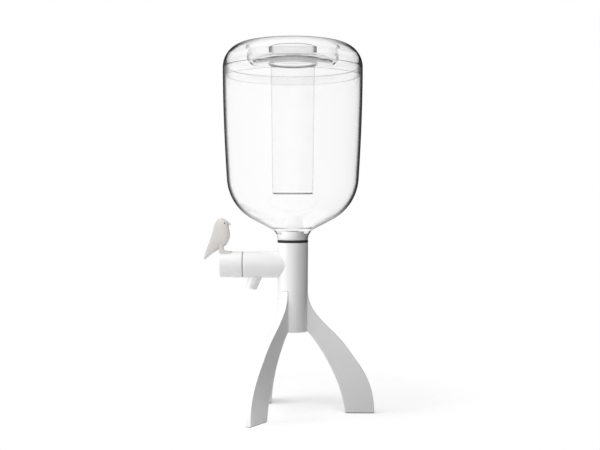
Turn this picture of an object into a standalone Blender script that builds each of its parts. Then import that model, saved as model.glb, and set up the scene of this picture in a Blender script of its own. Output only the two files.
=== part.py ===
"""Table-top water dispenser: a clear tank with an ice tube on a three-legged column, and a bird tap.

Every length is in metres. +Z is up, the tap points along -X, and the origin is the middle of the
footprint's box at table height. Radii and distances are measured from the column's axis.
"""
import math

import bmesh
import bpy
from mathutils import Matrix, Vector

# Fits and facets
GAP = 0.0003
RUN_GAP = 0.0003
LIFT_GAP = 0.0005
OVERRUN = 0.004
LARGE_SEGMENTS = 36
MEDIUM_SEGMENTS = 24
SMALL_SEGMENTS = 16
NUT_SIDES = 6
ARC_STEPS = 2
FILLET_LIMIT_SHARE = 0.48

# Column
COLUMN_FOOT_Z = 0.1105
COLUMN_LENGTH = 0.1199
COLUMN_TOP_R = 0.0208
COLUMN_FOOT_R = 0.0198
COLUMN_WALL = 0.0024
COLUMN_TOP_ROUNDING = 0.0006
COLUMN_DECK = 0.0035
NECK_BOSS_R = 0.0150
NECK_BOSS_ROUNDING = 0.0006
COLUMN_FLOOR = 0.0030
COLUMN_FLOOR_DROP = 0.0294
BOSS_R = 0.0045
PILOT_DEPTH = 0.0200

# Legs
LEG_HEADINGS = {"right": 0.0, "back": math.radians(120), "front": math.radians(240)}
LEG_THICKNESS = 0.0091
LEG_ROUNDING = 0.0007
LEG_ROUNDING_STEPS = 2
LEG_ROOT_DROP = 0.0026
LEG_ROOT_R = 0.0120
LEG_REACH = 0.1100
LEG_FOOT_LENGTH = 0.0394
LEG_KNEE_OUT = 0.0540
LEG_KNEE_DROP = 0.0792
LEG_KNEE_SLOPE = math.radians(55.2)
LEG_CURVE_STEPS = 9
OUTER_HANDLE_SHARES = (0.208, 0.222, 0.187, 0.263)
INNER_HANDLE_SHARES = ((0.40, 0.195), (0.945, 0.66))

# Foot pads
PAD_LENGTH = 0.0370
PAD_WIDTH = 0.0070
PAD_INSET = 0.0010
PAD_DROP = 0.0008

# Plug and screw under the column
PLUG_THICKNESS = 0.0040
SCREW_SHANK_R = 0.0014
SCREW_HEAD_R = 0.0041
SCREW_HEAD = 0.0020
SCREW_GRIP = 0.0150
SCREW_ROUNDING = 0.0006

# Tank
GASKET_THICKNESS = 0.0033
TANK_HEIGHT = 0.2317
TANK_WALL = 0.0030
TANK_NECK_R = 0.0204
TANK_NECK_ROOF = 0.0030
TANK_RIM_R = 0.0943
TANK_SHOULDER_INSET = 0.0054
TANK_NECK_FILLET = 0.0168
TANK_SHOULDER_FILLET = 0.0664
TANK_SLOPE = math.radians(27.5)
TANK_LEAN = math.radians(4)
TANK_FLOOR_ANGLE = math.radians(56)
TANK_WALL_POWER = 1.8
TANK_ARC_STEPS = 5
TANK_WALL_STEPS = 4
TANK_LIP_ROUNDING = 0.0006

# Hollow bolt that carries the tank and drains it
BOLT_R = 0.0075
BOLT_BORE_R = 0.0050
BOLT_HEAD_R = 0.0101
BOLT_HEAD = 0.0040
BOLT_END = 0.0030
NUT_R = 0.0125
NUT_THICKNESS = 0.0050

# Lid
LID_RISE = 0.0319
LID_WALL = 0.0026
LID_SKIRT = 0.0117
LID_SKIRT_WALL = 0.0026
LID_RIM_ROUNDING = 0.0025
LID_FLOOR_DROP = 0.0246
LID_FLOOR = 0.0022
LID_COLLAR = 0.0012
LID_COLLAR_WALL = 0.0024
WELL_R = 0.0605
WELL_FILLET = 0.0050
LID_HOLE_R = 0.0310
LID_DOME_STEPS = 6

# Ice tube and its cap
TUBE_TOP_R = 0.0296
TUBE_FOOT_R = 0.0273
TUBE_LENGTH = 0.1781
TUBE_WALL = 0.0022
TUBE_FLOOR = 0.0042
TUBE_FOOT_ROUNDING = 0.0020
TUBE_FLANGE_R = 0.0355
TUBE_FLANGE = 0.0024
TUBE_NECK = 0.0188
CAP_WALL = 0.0020
CAP_TOP = 0.0030
CAP_SKIRT = 0.0160
CAP_ROUNDING = 0.0020

# Tap
TAP_DROP = 0.0295
BARREL_R = 0.0180
BARREL_LENGTH = 0.0668
BARREL_ROUNDING = 0.0004
SHANK_R = 0.0095
SHANK_BORE_R = 0.0060
SHANK_END = 0.0055
SHANK_OVERLAP = 0.0120
WASHER_R = 0.0125
WASHER_FACE = 0.0113
CORE_R = 0.0080
CORE_BORE_R = 0.0045
CORE_START = 0.0250
STEM_HALF = 0.0036
STEM_LENGTH = 0.0125
STEM_PILOT_R = 0.0015
RING_SECTION_R = 0.0009
RING_GROOVE_DEPTH = 0.0020
RING_SECTION_SIDES = 6
RING_PLACES = {"inner": 0.0300, "outer": 0.0610}
SEAM_RING = 0.0006
SEAM_RING_INSET = 0.0005

# Nozzle
NOZZLE_PLACE = 0.0451
NOZZLE_TILT = math.radians(20)
NOZZLE_REACH = 0.0342
NOZZLE_OUTLET_R = 0.0076
NOZZLE_ROOT_R = 0.0096
NOZZLE_ROOT_REACH = 0.0100
NOZZLE_BORE_R = 0.0050
NOZZLE_ROUNDING = 0.0005
SPIGOT_R = 0.0066
SPIGOT_START = 0.0145
SPIGOT_END = 0.0240

# Turning handle
HANDLE_LENGTH = 0.0305
HANDLE_STEP = 0.0144
HANDLE_END_R = 0.0173
HANDLE_ROUNDING = 0.0008
HANDLE_RECESS_R = 0.0120
HANDLE_WEB = 0.0043
END_DISC_R = 0.0153
END_DISC = 0.0027
CLAMP_HEAD_R = 0.0040
CLAMP_HEAD = 0.0026
CLAMP_SHANK_R = 0.0012
CLAMP_GRIP = 0.0140

# Bird on the handle
BIRD_SIZE = 0.0566
BIRD_PLACE = 0.0966
BIRD_SIDES = 16
FOOT_STANCE = 0.0065
FOOT_THICKNESS = 0.0036
FOOT_HEEL = 0.0030
FOOT_SHIN = 0.0023
FOOT_TOP = 0.0012
FOOT_SINK = 0.0040
FOOT_POST = 0.0130
FOOT_TOE_TIP = 0.0007
FOOT_ROUNDING = 0.0006
EYE_R = 0.0011

# Back and front points (x, z) of the bird's cross-sections from tail to beak, and the half width
# against the half depth, as shares of the bird's size from the point where it perches
BIRD_SECTION_SHARES = (
    ((-0.430, -0.160), (-0.390, -0.190), 1.40),
    ((-0.390, -0.040), (-0.290, -0.100), 1.15),
    ((-0.350, 0.100), (-0.170, -0.020), 1.00),
    ((-0.300, 0.220), (-0.060, 0.060), 0.95),
    ((-0.260, 0.340), (0.080, 0.130), 0.90),
    ((-0.220, 0.480), (0.170, 0.260), 0.88),
    ((-0.180, 0.600), (0.200, 0.410), 0.88),
    ((-0.158, 0.690), (0.180, 0.520), 0.90),
    ((-0.110, 0.762), (0.166, 0.590), 0.92),
    ((-0.026, 0.812), (0.168, 0.610), 0.94),
    ((0.070, 0.790), (0.175, 0.620), 0.95),
    ((0.135, 0.745), (0.185, 0.630), 0.90),
    ((0.180, 0.690), (0.195, 0.640), 1.00),
    ((0.240, 0.665), (0.243, 0.652), 1.00),
)
EYE_SHARES = (0.086, 0.128, 0.684)

# Derived heights, from the table up
COLUMN_TOP_Z = COLUMN_FOOT_Z + COLUMN_LENGTH
TANK_Z = COLUMN_TOP_Z + GASKET_THICKNESS + 2 * GAP
SEAM_Z = TANK_Z + TANK_HEIGHT + GAP
WELL_FLOOR_Z = SEAM_Z + LID_RISE - LID_FLOOR_DROP
FLANGE_Z = WELL_FLOOR_Z + GAP
TUBE_TOP_Z = FLANGE_Z + TUBE_NECK
TAP_Z = COLUMN_TOP_Z - TAP_DROP
COLUMN_FLOOR_Z = TAP_Z - COLUMN_FLOOR_DROP - COLUMN_FLOOR
LEG_ROOT_Z = COLUMN_FLOOR_Z - LEG_ROOT_DROP

# Derived places along the tap, outward from the column's axis
SEAM_START = BARREL_LENGTH + GAP
HANDLE_START = SEAM_START + SEAM_RING + GAP
HANDLE_END = HANDLE_START + HANDLE_LENGTH
HANDLE_STEP_PLACE = HANDLE_START + HANDLE_STEP
STEM_END = HANDLE_START + STEM_LENGTH
WEB_START = STEM_END + GAP
WEB_END = WEB_START + HANDLE_WEB

# Where the column's axis stands, so that the origin is the middle of the footprint's box
TAIL_REACH = BIRD_PLACE - BIRD_SECTION_SHARES[0][0][0] * BIRD_SIZE
AXIS_X = (TAIL_REACH - LEG_REACH) / 2

WHITE = ("white_plastic", (0.86, 0.86, 0.86, 1.0), 0.35, 0.0)
CLEAR = ("clear_plastic", (0.95, 0.97, 0.98, 0.3), 0.05, 0.0)
BLACK = ("black_rubber", (0.02, 0.02, 0.02, 1.0), 0.60, 0.0)
GREY = ("grey_plastic", (0.62, 0.60, 0.58, 1.0), 0.50, 0.0)
STEEL = ("steel", (0.60, 0.60, 0.62, 1.0), 0.30, 1.0)


# Scene helpers
def clear_scene():
    for item in list(bpy.data.objects):
        bpy.data.objects.remove(item, do_unlink=True)


def material(look):
    """The material of a look, made once and shared."""
    name, colour, roughness, metallic = look
    found = bpy.data.materials.get(name)
    if found:
        return found
    made = bpy.data.materials.new(name)
    made.use_nodes = True
    shader = made.node_tree.nodes["Principled BSDF"]
    shader.inputs["Base Color"].default_value = colour
    shader.inputs["Alpha"].default_value = colour[3]
    shader.inputs["Roughness"].default_value = roughness
    shader.inputs["Metallic"].default_value = metallic
    made.diffuse_color = colour
    return made


def empty(name, location, parent=None):
    """An empty that carries a group of pieces."""
    item = bpy.data.objects.new(name, None)
    item.location = location
    item.parent = parent
    bpy.context.scene.collection.objects.link(item)
    return item


def solid(name, bm, look, parent, location=(0, 0, 0), rotation=(0, 0, 0)):
    """A named object from a bmesh, smooth except at its sharp edges."""
    mesh = bpy.data.meshes.new(name)
    bm.to_mesh(mesh)
    bm.free()
    mesh.shade_smooth()
    mesh.set_sharp_from_angle(angle=math.radians(35))
    if look:
        mesh.materials.append(material(look))
    item = bpy.data.objects.new(name, mesh)
    item.location = location
    item.rotation_euler = rotation
    item.parent = parent
    bpy.context.scene.collection.objects.link(item)
    return item


def guide(name, bm, parent, location=(0, 0, 0), rotation=(0, 0, 0)):
    """A hidden object that only cuts or joins."""
    item = solid(name, bm, None, parent, location, rotation)
    item.hide_render = True
    item.display_type = "WIRE"
    return item


def combine(item, other, operation):
    """Cut the other object out of the item, or join it on."""
    modifier = item.modifiers.new(other.name, "BOOLEAN")
    modifier.operation = operation
    modifier.solver = "EXACT"
    modifier.object = other


def round_edges(item, width, steps):
    """Round the item's sharp edges."""
    modifier = item.modifiers.new("rounding", "BEVEL")
    modifier.width = width
    modifier.segments = steps
    modifier.limit_method = "ANGLE"
    modifier.angle_limit = math.radians(40)


# Shape helpers
def rounded(corners):
    """Points of a closed outline whose corners are (x, y), or (x, y, fillet radius)."""
    points = []
    for index, corner in enumerate(corners):
        here = Vector(corner[:2])
        if len(corner) == 2:
            points.append(tuple(here))
            continue
        back = Vector(corners[index - 1][:2]) - here
        ahead = Vector(corners[(index + 1) % len(corners)][:2]) - here
        half = back.angle(ahead) / 2
        reach = min(corner[2] / math.tan(half), FILLET_LIMIT_SHARE * min(back.length, ahead.length))
        radius = reach * math.tan(half)
        middle = (back.normalized() + ahead.normalized()).normalized()
        centre = here + middle * (radius / math.sin(half))
        first = here + back.normalized() * reach - centre
        last = here + ahead.normalized() * reach - centre
        sweep = math.atan2(first.x * last.y - first.y * last.x, first.dot(last))
        for step in range(ARC_STEPS + 1):
            spoke = Matrix.Rotation(sweep * step / ARC_STEPS, 2) @ first
            points.append(tuple(centre + spoke))
    return points


def arc(centre, radius, start, end, steps):
    """Points of an arc between two angles."""
    points = []
    for step in range(steps + 1):
        angle = start + (end - start) * step / steps
        points.append((centre[0] + radius * math.cos(angle), centre[1] + radius * math.sin(angle)))
    return points


def bezier(first, second, third, fourth, steps):
    """Points of a cubic curve, without its first one."""
    points = []
    for step in range(1, steps + 1):
        t = step / steps
        weights = ((1 - t) ** 3, 3 * t * (1 - t) ** 2, 3 * t * t * (1 - t), t ** 3)
        pairs = list(zip(weights, (first, second, third, fourth)))
        points.append((sum(w * p[0] for w, p in pairs), sum(w * p[1] for w, p in pairs)))
    return points


def turned(outline, segments):
    """A solid spun about Z from a closed outline of (radius, height) points."""
    bm = bmesh.new()
    rings = []
    for radius, height in outline:
        if radius == 0:
            rings.append([bm.verts.new((0, 0, height))])
            continue
        angles = [2 * math.pi * k / segments for k in range(segments)]
        rings.append([bm.verts.new((radius * math.cos(a), radius * math.sin(a), height)) for a in angles])
    for lower, upper in zip(rings, rings[1:] + rings[:1]):
        if len(lower) == 1 and len(upper) == 1:
            continue
        for k in range(segments):
            n = k + 1
            around = [lower[k % len(lower)], lower[n % len(lower)]]
            around += [upper[n % len(upper)], upper[k % len(upper)]]
            bm.faces.new(list(dict.fromkeys(around)))
    bmesh.ops.recalc_face_normals(bm, faces=bm.faces[:])
    return bm


def outward(bm):
    """Lay a shape that was spun about Z along the tap, away from the column."""
    bm.transform(Matrix.Rotation(-math.pi / 2, 4, "Y"))
    return bm


def rod(radius, start, end, segments):
    """A plain cylinder along Z."""
    return turned([(0, start), (radius, start), (radius, end), (0, end)], segments)


def pipe(bore, radius, start, end, segments, rounding=0):
    """A plain ring or tube along Z, with its outer edges rounded."""
    return turned(rounded([(bore, start), (radius, start, rounding), (radius, end, rounding),
                           (bore, end)]), segments)


def slab(outline, thickness):
    """An (x, z) outline given thickness along Y, half to each side."""
    bm = bmesh.new()
    corners = [bm.verts.new((x, -thickness / 2, z)) for x, z in outline]
    face = bm.faces.new(corners)
    grown = bmesh.ops.extrude_face_region(bm, geom=[face])
    moved = [v for v in grown["geom"] if isinstance(v, bmesh.types.BMVert)]
    bmesh.ops.translate(bm, verts=moved, vec=(0, thickness, 0))
    bmesh.ops.recalc_face_normals(bm, faces=bm.faces[:])
    return bm


def block(low, high):
    """A box between two corners."""
    outline = [(low[0], low[2]), (high[0], low[2]), (high[0], high[2]), (low[0], high[2])]
    bm = slab(outline, high[1] - low[1])
    bmesh.ops.translate(bm, verts=bm.verts[:], vec=(0, (low[1] + high[1]) / 2, 0))
    return bm


def aim(direction):
    """The rotation that turns +Z to a direction."""
    return Vector(direction).to_track_quat("Z", "Y").to_euler()


# Column and what closes it
def column_r(z):
    """The column's outer radius at a height."""
    return COLUMN_FOOT_R + (COLUMN_TOP_R - COLUMN_FOOT_R) * (z - COLUMN_FOOT_Z) / COLUMN_LENGTH


def column_bore_r(z):
    return column_r(z) - COLUMN_WALL


def make_column(stand):
    floor_top = COLUMN_FLOOR_Z + COLUMN_FLOOR
    deck_z = COLUMN_TOP_Z - COLUMN_DECK
    boss_z = COLUMN_FOOT_Z + PLUG_THICKNESS + GAP
    pilot_r = SCREW_SHANK_R + GAP
    hole_r = BOLT_R + GAP
    neck_boss_z = TANK_Z + neck_roof_height() - GAP
    outline = rounded([
        (hole_r, neck_boss_z),
        (NECK_BOSS_R, neck_boss_z, NECK_BOSS_ROUNDING),
        (NECK_BOSS_R, COLUMN_TOP_Z),
        (COLUMN_TOP_R, COLUMN_TOP_Z, COLUMN_TOP_ROUNDING),
        (COLUMN_FOOT_R, COLUMN_FOOT_Z),
        (column_bore_r(COLUMN_FOOT_Z), COLUMN_FOOT_Z),
        (column_bore_r(COLUMN_FLOOR_Z), COLUMN_FLOOR_Z),
        (BOSS_R, COLUMN_FLOOR_Z),
        (BOSS_R, boss_z),
        (pilot_r, boss_z),
        (pilot_r, boss_z + PILOT_DEPTH),
        (0, boss_z + PILOT_DEPTH),
        (0, floor_top),
        (column_bore_r(floor_top), floor_top),
        (column_bore_r(deck_z), deck_z),
        (hole_r, deck_z),
    ])
    column = solid("column", turned(outline, LARGE_SEGMENTS), WHITE, stand)
    slot_half = LEG_THICKNESS / 2 + GAP
    for side, heading in LEG_HEADINGS.items():
        low = (LEG_ROOT_R - GAP, -slot_half, COLUMN_FOOT_Z - OVERRUN)
        high = (COLUMN_TOP_R + OVERRUN, slot_half, LEG_ROOT_Z + GAP)
        slot = guide("slot_" + side, block(low, high), stand, rotation=(0, 0, heading))
        combine(column, slot, "DIFFERENCE")
    hole = rod(SHANK_R + GAP, WASHER_R, COLUMN_TOP_R + OVERRUN, MEDIUM_SEGMENTS)
    tap_hole = guide("tap_hole", outward(hole), stand, (0, 0, TAP_Z))
    combine(column, tap_hole, "DIFFERENCE")


def make_base_plug(stand):
    edge_r = column_bore_r(COLUMN_FOOT_Z) - GAP
    recess_z = COLUMN_FOOT_Z + SCREW_HEAD + 2 * GAP
    top_z = COLUMN_FOOT_Z + PLUG_THICKNESS
    outline = rounded([
        (SCREW_HEAD_R + GAP, COLUMN_FOOT_Z),
        (edge_r, COLUMN_FOOT_Z, SCREW_ROUNDING),
        (edge_r, top_z),
        (SCREW_SHANK_R + GAP, top_z),
        (SCREW_SHANK_R + GAP, recess_z),
        (SCREW_HEAD_R + GAP, recess_z),
    ])
    solid("column_base_plug", turned(outline, MEDIUM_SEGMENTS), WHITE, stand)
    head_z = COLUMN_FOOT_Z + GAP
    seat_z = head_z + SCREW_HEAD
    screw = rounded([
        (0, head_z),
        (SCREW_HEAD_R, head_z, SCREW_ROUNDING),
        (SCREW_HEAD_R, seat_z),
        (SCREW_SHANK_R, seat_z),
        (SCREW_SHANK_R, top_z + SCREW_GRIP),
        (0, top_z + SCREW_GRIP),
    ])
    solid("base_screw", turned(screw, SMALL_SEGMENTS), STEEL, stand)


# Legs
def leg_outline():
    """One leg seen from its side, as (radius, height) points."""
    root_z = LEG_ROOT_Z
    knee = (COLUMN_TOP_R + LEG_KNEE_OUT, root_z - LEG_KNEE_DROP)
    run = (math.cos(LEG_KNEE_SLOPE), -math.sin(LEG_KNEE_SLOPE))
    drop, before, after, rise = (share * root_z for share in OUTER_HANDLE_SHARES)
    start = (column_r(root_z), root_z)
    sole = PAD_DROP
    end = (LEG_REACH, sole)
    outer = [start]
    outer += bezier(start, (start[0], root_z - drop),
                    (knee[0] - before * run[0], knee[1] - before * run[1]), knee, LEG_CURVE_STEPS)
    outer += bezier(knee, (knee[0] + after * run[0], knee[1] + after * run[1]),
                    (LEG_REACH, rise), end, LEG_CURVE_STEPS)
    heel = (LEG_REACH - LEG_FOOT_LENGTH, sole)
    crotch = (column_r(COLUMN_FOOT_Z), COLUMN_FOOT_Z)
    across = heel[0] - crotch[0]
    fall = crotch[1] - heel[1]
    (first_out, first_down), (second_out, second_down) = INNER_HANDLE_SHARES
    inner = bezier(crotch, (crotch[0] + first_out * across, crotch[1] - first_down * fall),
                   (crotch[0] + second_out * across, crotch[1] - second_down * fall), heel,
                   LEG_CURVE_STEPS)
    inner.reverse()
    slot_r = column_bore_r(COLUMN_FOOT_Z)
    shelf_z = COLUMN_FOOT_Z + PLUG_THICKNESS + GAP
    root = [(slot_r, COLUMN_FOOT_Z), (slot_r, shelf_z), (LEG_ROOT_R, shelf_z), (LEG_ROOT_R, root_z)]
    return outer + inner + [crotch] + root


def make_legs(stand):
    outline = leg_outline()
    middle_r = LEG_REACH - LEG_FOOT_LENGTH / 2
    for side, heading in LEG_HEADINGS.items():
        turn = (0, 0, heading)
        leg = solid("leg_" + side, slab(outline, LEG_THICKNESS), WHITE, stand, rotation=turn)
        round_edges(leg, LEG_ROUNDING, LEG_ROUNDING_STEPS)
        half_long = PAD_LENGTH / 2
        half_wide = PAD_WIDTH / 2
        low = (middle_r - half_long - GAP, -half_wide - GAP, -OVERRUN)
        high = (middle_r + half_long + GAP, half_wide + GAP, PAD_DROP + PAD_INSET)
        recess = guide("pad_recess_" + side, block(low, high), stand, rotation=turn)
        combine(leg, recess, "DIFFERENCE")
        low = (middle_r - half_long, -half_wide, 0)
        high = (middle_r + half_long, half_wide, PAD_DROP + PAD_INSET - GAP)
        solid("foot_pad_" + side, block(low, high), BLACK, stand, rotation=turn)


# Tank, gasket and the hollow bolt
def tank_side(inset, start):
    """The tank's side from its neck to its rim, as points set in from the outer face."""
    shoulder_r = TANK_RIM_R - TANK_SHOULDER_INSET
    fillet = (TANK_NECK_R + TANK_NECK_FILLET, 0)
    points = arc(fillet, TANK_NECK_FILLET + inset, start, math.pi / 2 + TANK_SLOPE, TANK_ARC_STEPS)
    slope_start_r = fillet[0] - TANK_NECK_FILLET * math.sin(TANK_SLOPE)
    slope_start_z = TANK_NECK_FILLET * math.cos(TANK_SLOPE)
    centre_r = shoulder_r - TANK_SHOULDER_FILLET * math.cos(TANK_LEAN)
    slope_end_r = centre_r + TANK_SHOULDER_FILLET * math.sin(TANK_SLOPE)
    slope_end_z = slope_start_z + (slope_end_r - slope_start_r) * math.tan(TANK_SLOPE)
    centre_z = slope_end_z + TANK_SHOULDER_FILLET * math.cos(TANK_SLOPE)
    points += arc((centre_r, centre_z), TANK_SHOULDER_FILLET - inset,
                  TANK_SLOPE - math.pi / 2, -TANK_LEAN, TANK_ARC_STEPS)
    wall_z = centre_z - TANK_SHOULDER_FILLET * math.sin(TANK_LEAN)
    for step in range(1, TANK_WALL_STEPS + 1):
        t = step / TANK_WALL_STEPS
        radius = TANK_RIM_R - TANK_SHOULDER_INSET * (1 - t) ** TANK_WALL_POWER
        points.append((radius - inset, wall_z + (TANK_HEIGHT - wall_z) * t))
    return points


def tank_floor_height():
    """Where the tank's inside floor lies above its foot."""
    return (TANK_NECK_FILLET + TANK_WALL) * math.sin(TANK_FLOOR_ANGLE)


def neck_roof_height():
    """Where the plastic over the column's boss lies above the tank's foot."""
    return tank_floor_height() - BOLT_HEAD - TANK_NECK_ROOF


def make_tank(stand):
    socket_r = NECK_BOSS_R + GAP
    gasket = pipe(socket_r, COLUMN_TOP_R, 0, GASKET_THICKNESS, LARGE_SEGMENTS)
    solid("neck_gasket", gasket, BLACK, stand, (0, 0, COLUMN_TOP_Z + GAP))

    floor_z = tank_floor_height()
    seat_z = floor_z - BOLT_HEAD
    hole_r = BOLT_R + GAP
    pocket_r = BOLT_HEAD_R + GAP
    outer = tank_side(0, math.pi)
    inner = tank_side(TANK_WALL, math.pi - TANK_FLOOR_ANGLE)
    inner.reverse()
    outer[-1] = outer[-1] + (TANK_LIP_ROUNDING,)
    inner[0] = inner[0] + (TANK_LIP_ROUNDING,)
    roof_z = neck_roof_height()
    outline = [(socket_r, 0)] + outer + inner
    outline += [(pocket_r, floor_z), (pocket_r, seat_z), (hole_r, seat_z)]
    outline += [(hole_r, roof_z), (socket_r, roof_z)]
    solid("tank", turned(rounded(outline), LARGE_SEGMENTS), CLEAR, stand, (0, 0, TANK_Z))

    nut_top = COLUMN_TOP_Z - COLUMN_DECK - GAP
    bolt_end = nut_top - NUT_THICKNESS - BOLT_END
    head_z = TANK_Z + seat_z + GAP
    bolt = rounded([
        (BOLT_BORE_R, bolt_end),
        (BOLT_R, bolt_end, BOLT_END / 4),
        (BOLT_R, head_z),
        (BOLT_HEAD_R, head_z),
        (BOLT_HEAD_R, head_z + BOLT_HEAD, BOLT_HEAD / 8),
        (BOLT_BORE_R, head_z + BOLT_HEAD),
    ])
    solid("drain_bolt", turned(bolt, MEDIUM_SEGMENTS), GREY, stand)
    make_nut("drain_nut", hole_r, stand, (0, 0, nut_top), upright)


def upright(bm):
    """Leave a shape that was spun about Z as it is."""
    return bm


def make_nut(name, bore, parent, place, lay):
    """A hexagonal nut whose clamping face is at its place, with its bore cut through."""
    hexagon = rod(NUT_R, -NUT_THICKNESS, 0, NUT_SIDES)
    item = solid(name, lay(hexagon), GREY, parent, place)
    hole = rod(bore, -NUT_THICKNESS - OVERRUN, OVERRUN, MEDIUM_SEGMENTS)
    combine(item, guide(name + "_bore", lay(hole), parent, place), "DIFFERENCE")


# Lid, ice tube and cap
def quarter_ellipse(centre_r, half_r, half_z, start_share=1.0):
    """Points of an ellipse's outer quarter from a share of its half width up to its top."""
    points = []
    first = math.acos(start_share)
    for step in range(LID_DOME_STEPS + 1):
        angle = first + (math.pi / 2 - first) * step / LID_DOME_STEPS
        points.append((centre_r + half_r * math.cos(angle), half_z * math.sin(angle)))
    return points


def make_lid(lid_axis):
    crown_r = WELL_R + LID_RIM_ROUNDING
    half_r = TANK_RIM_R - crown_r
    outer = quarter_ellipse(crown_r, half_r, LID_RISE)
    skirt_r = TANK_RIM_R - TANK_WALL - LIFT_GAP
    skirt_bore = skirt_r - LID_SKIRT_WALL
    inner_half_r = half_r - LID_WALL
    inner = quarter_ellipse(crown_r, inner_half_r, LID_RISE - LID_WALL,
                            (skirt_bore - crown_r) / inner_half_r)
    inner.reverse()
    floor_top = LID_RISE - LID_FLOOR_DROP
    floor_bottom = floor_top - LID_FLOOR
    collar_z = floor_bottom - LID_COLLAR
    back_r = WELL_R + LID_WALL
    outline = rounded(outer + [
        (WELL_R, LID_RISE, LID_RIM_ROUNDING),
        (WELL_R, floor_top, WELL_FILLET),
        (LID_HOLE_R, floor_top, LID_FLOOR / 4),
        (LID_HOLE_R, collar_z, LID_COLLAR / 4),
        (LID_HOLE_R + LID_COLLAR_WALL, collar_z, LID_COLLAR / 4),
        (LID_HOLE_R + LID_COLLAR_WALL, floor_bottom),
        (back_r, floor_bottom, WELL_FILLET + LID_WALL),
        (back_r, LID_RISE - LID_WALL),
    ] + inner[1:] + [
        (skirt_bore, -LID_SKIRT),
        (skirt_r, -LID_SKIRT, LID_SKIRT_WALL / 4),
        (skirt_r, 0),
    ])
    solid("lid", turned(outline, LARGE_SEGMENTS), CLEAR, lid_axis)


def make_ice_tube(tube_axis):
    foot_z = TUBE_NECK - TUBE_LENGTH - TUBE_NECK
    bore_top = TUBE_TOP_R - TUBE_WALL
    bore_foot = TUBE_FOOT_R - TUBE_WALL
    outline = rounded([
        (0, foot_z),
        (TUBE_FOOT_R, foot_z, TUBE_FOOT_ROUNDING),
        (TUBE_TOP_R, 0),
        (TUBE_FLANGE_R, 0),
        (TUBE_FLANGE_R, TUBE_FLANGE, TUBE_FLANGE / 4),
        (TUBE_TOP_R, TUBE_FLANGE),
        (TUBE_TOP_R, TUBE_NECK, TUBE_WALL / 4),
        (bore_top, TUBE_NECK, TUBE_WALL / 4),
        (bore_foot, foot_z + TUBE_FLOOR, TUBE_FOOT_ROUNDING),
        (0, foot_z + TUBE_FLOOR),
    ])
    solid("ice_tube", turned(outline, MEDIUM_SEGMENTS), CLEAR, tube_axis)


def make_cap(cap_axis):
    bore = TUBE_TOP_R + LIFT_GAP
    radius = bore + CAP_WALL
    outline = rounded([
        (0, GAP),
        (bore, GAP, CAP_ROUNDING / 2),
        (bore, -CAP_SKIRT, CAP_WALL / 4),
        (radius, -CAP_SKIRT, CAP_WALL / 4),
        (radius, GAP + CAP_TOP, CAP_ROUNDING),
        (0, GAP + CAP_TOP),
    ])
    solid("ice_tube_cap", turned(outline, MEDIUM_SEGMENTS), CLEAR, cap_axis)


# Tap that stands still
def nozzle_direction():
    return (-math.sin(NOZZLE_TILT), 0, -math.cos(NOZZLE_TILT))


def column_guide(name, grow, parent):
    """The column's outside as a cutter at the tap's height."""
    low = -TAP_DROP
    high = TAP_DROP
    outline = [(0, low), (column_r(TAP_Z + low) + grow, low),
               (column_r(TAP_Z + high) + grow, high), (0, high)]
    return guide(name, turned(outline, LARGE_SEGMENTS), parent)


def make_tap_body(tap):
    core_bore_r = CORE_R + RUN_GAP
    core_seat = CORE_START - GAP
    start = SHANK_END + OVERRUN
    barrel = pipe(SHANK_BORE_R, BARREL_R, start, BARREL_LENGTH, MEDIUM_SEGMENTS, BARREL_ROUNDING)
    body = solid("tap_body", outward(barrel), WHITE, tap)
    combine(body, column_guide("barrel_cope", GAP, tap), "DIFFERENCE")
    shank = rod(SHANK_R, SHANK_END, COLUMN_TOP_R + SHANK_OVERLAP, MEDIUM_SEGMENTS)
    combine(body, guide("tap_shank", outward(shank), tap), "UNION")
    bore = turned([(0, SHANK_END - OVERRUN), (SHANK_BORE_R, SHANK_END - OVERRUN),
                   (SHANK_BORE_R, core_seat), (core_bore_r, core_seat),
                   (core_bore_r, BARREL_LENGTH + OVERRUN), (0, BARREL_LENGTH + OVERRUN)],
                  MEDIUM_SEGMENTS)
    combine(body, guide("tap_bore", outward(bore), tap), "DIFFERENCE")
    socket = turned([(0, 0), (NOZZLE_BORE_R, 0), (NOZZLE_BORE_R, SPIGOT_START - GAP),
                     (SPIGOT_R + GAP, SPIGOT_START - GAP), (SPIGOT_R + GAP, SPIGOT_END + OVERRUN),
                     (0, SPIGOT_END + OVERRUN)], MEDIUM_SEGMENTS)
    place = (-NOZZLE_PLACE, 0, 0)
    cut = guide("nozzle_socket", socket, tap, place, aim(nozzle_direction()))
    combine(body, cut, "DIFFERENCE")


def make_tap_fixings(tap):
    washer = pipe(SHANK_R + GAP, WASHER_R, WASHER_FACE, COLUMN_TOP_R, MEDIUM_SEGMENTS)
    item = solid("tap_washer", outward(washer), BLACK, tap)
    cope = column_guide("washer_cope", -COLUMN_WALL - GAP, tap)
    combine(item, cope, "INTERSECT")
    make_nut("tap_lock_nut", SHANK_R + GAP, tap, (GAP - WASHER_FACE, 0, 0), outward)


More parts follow.
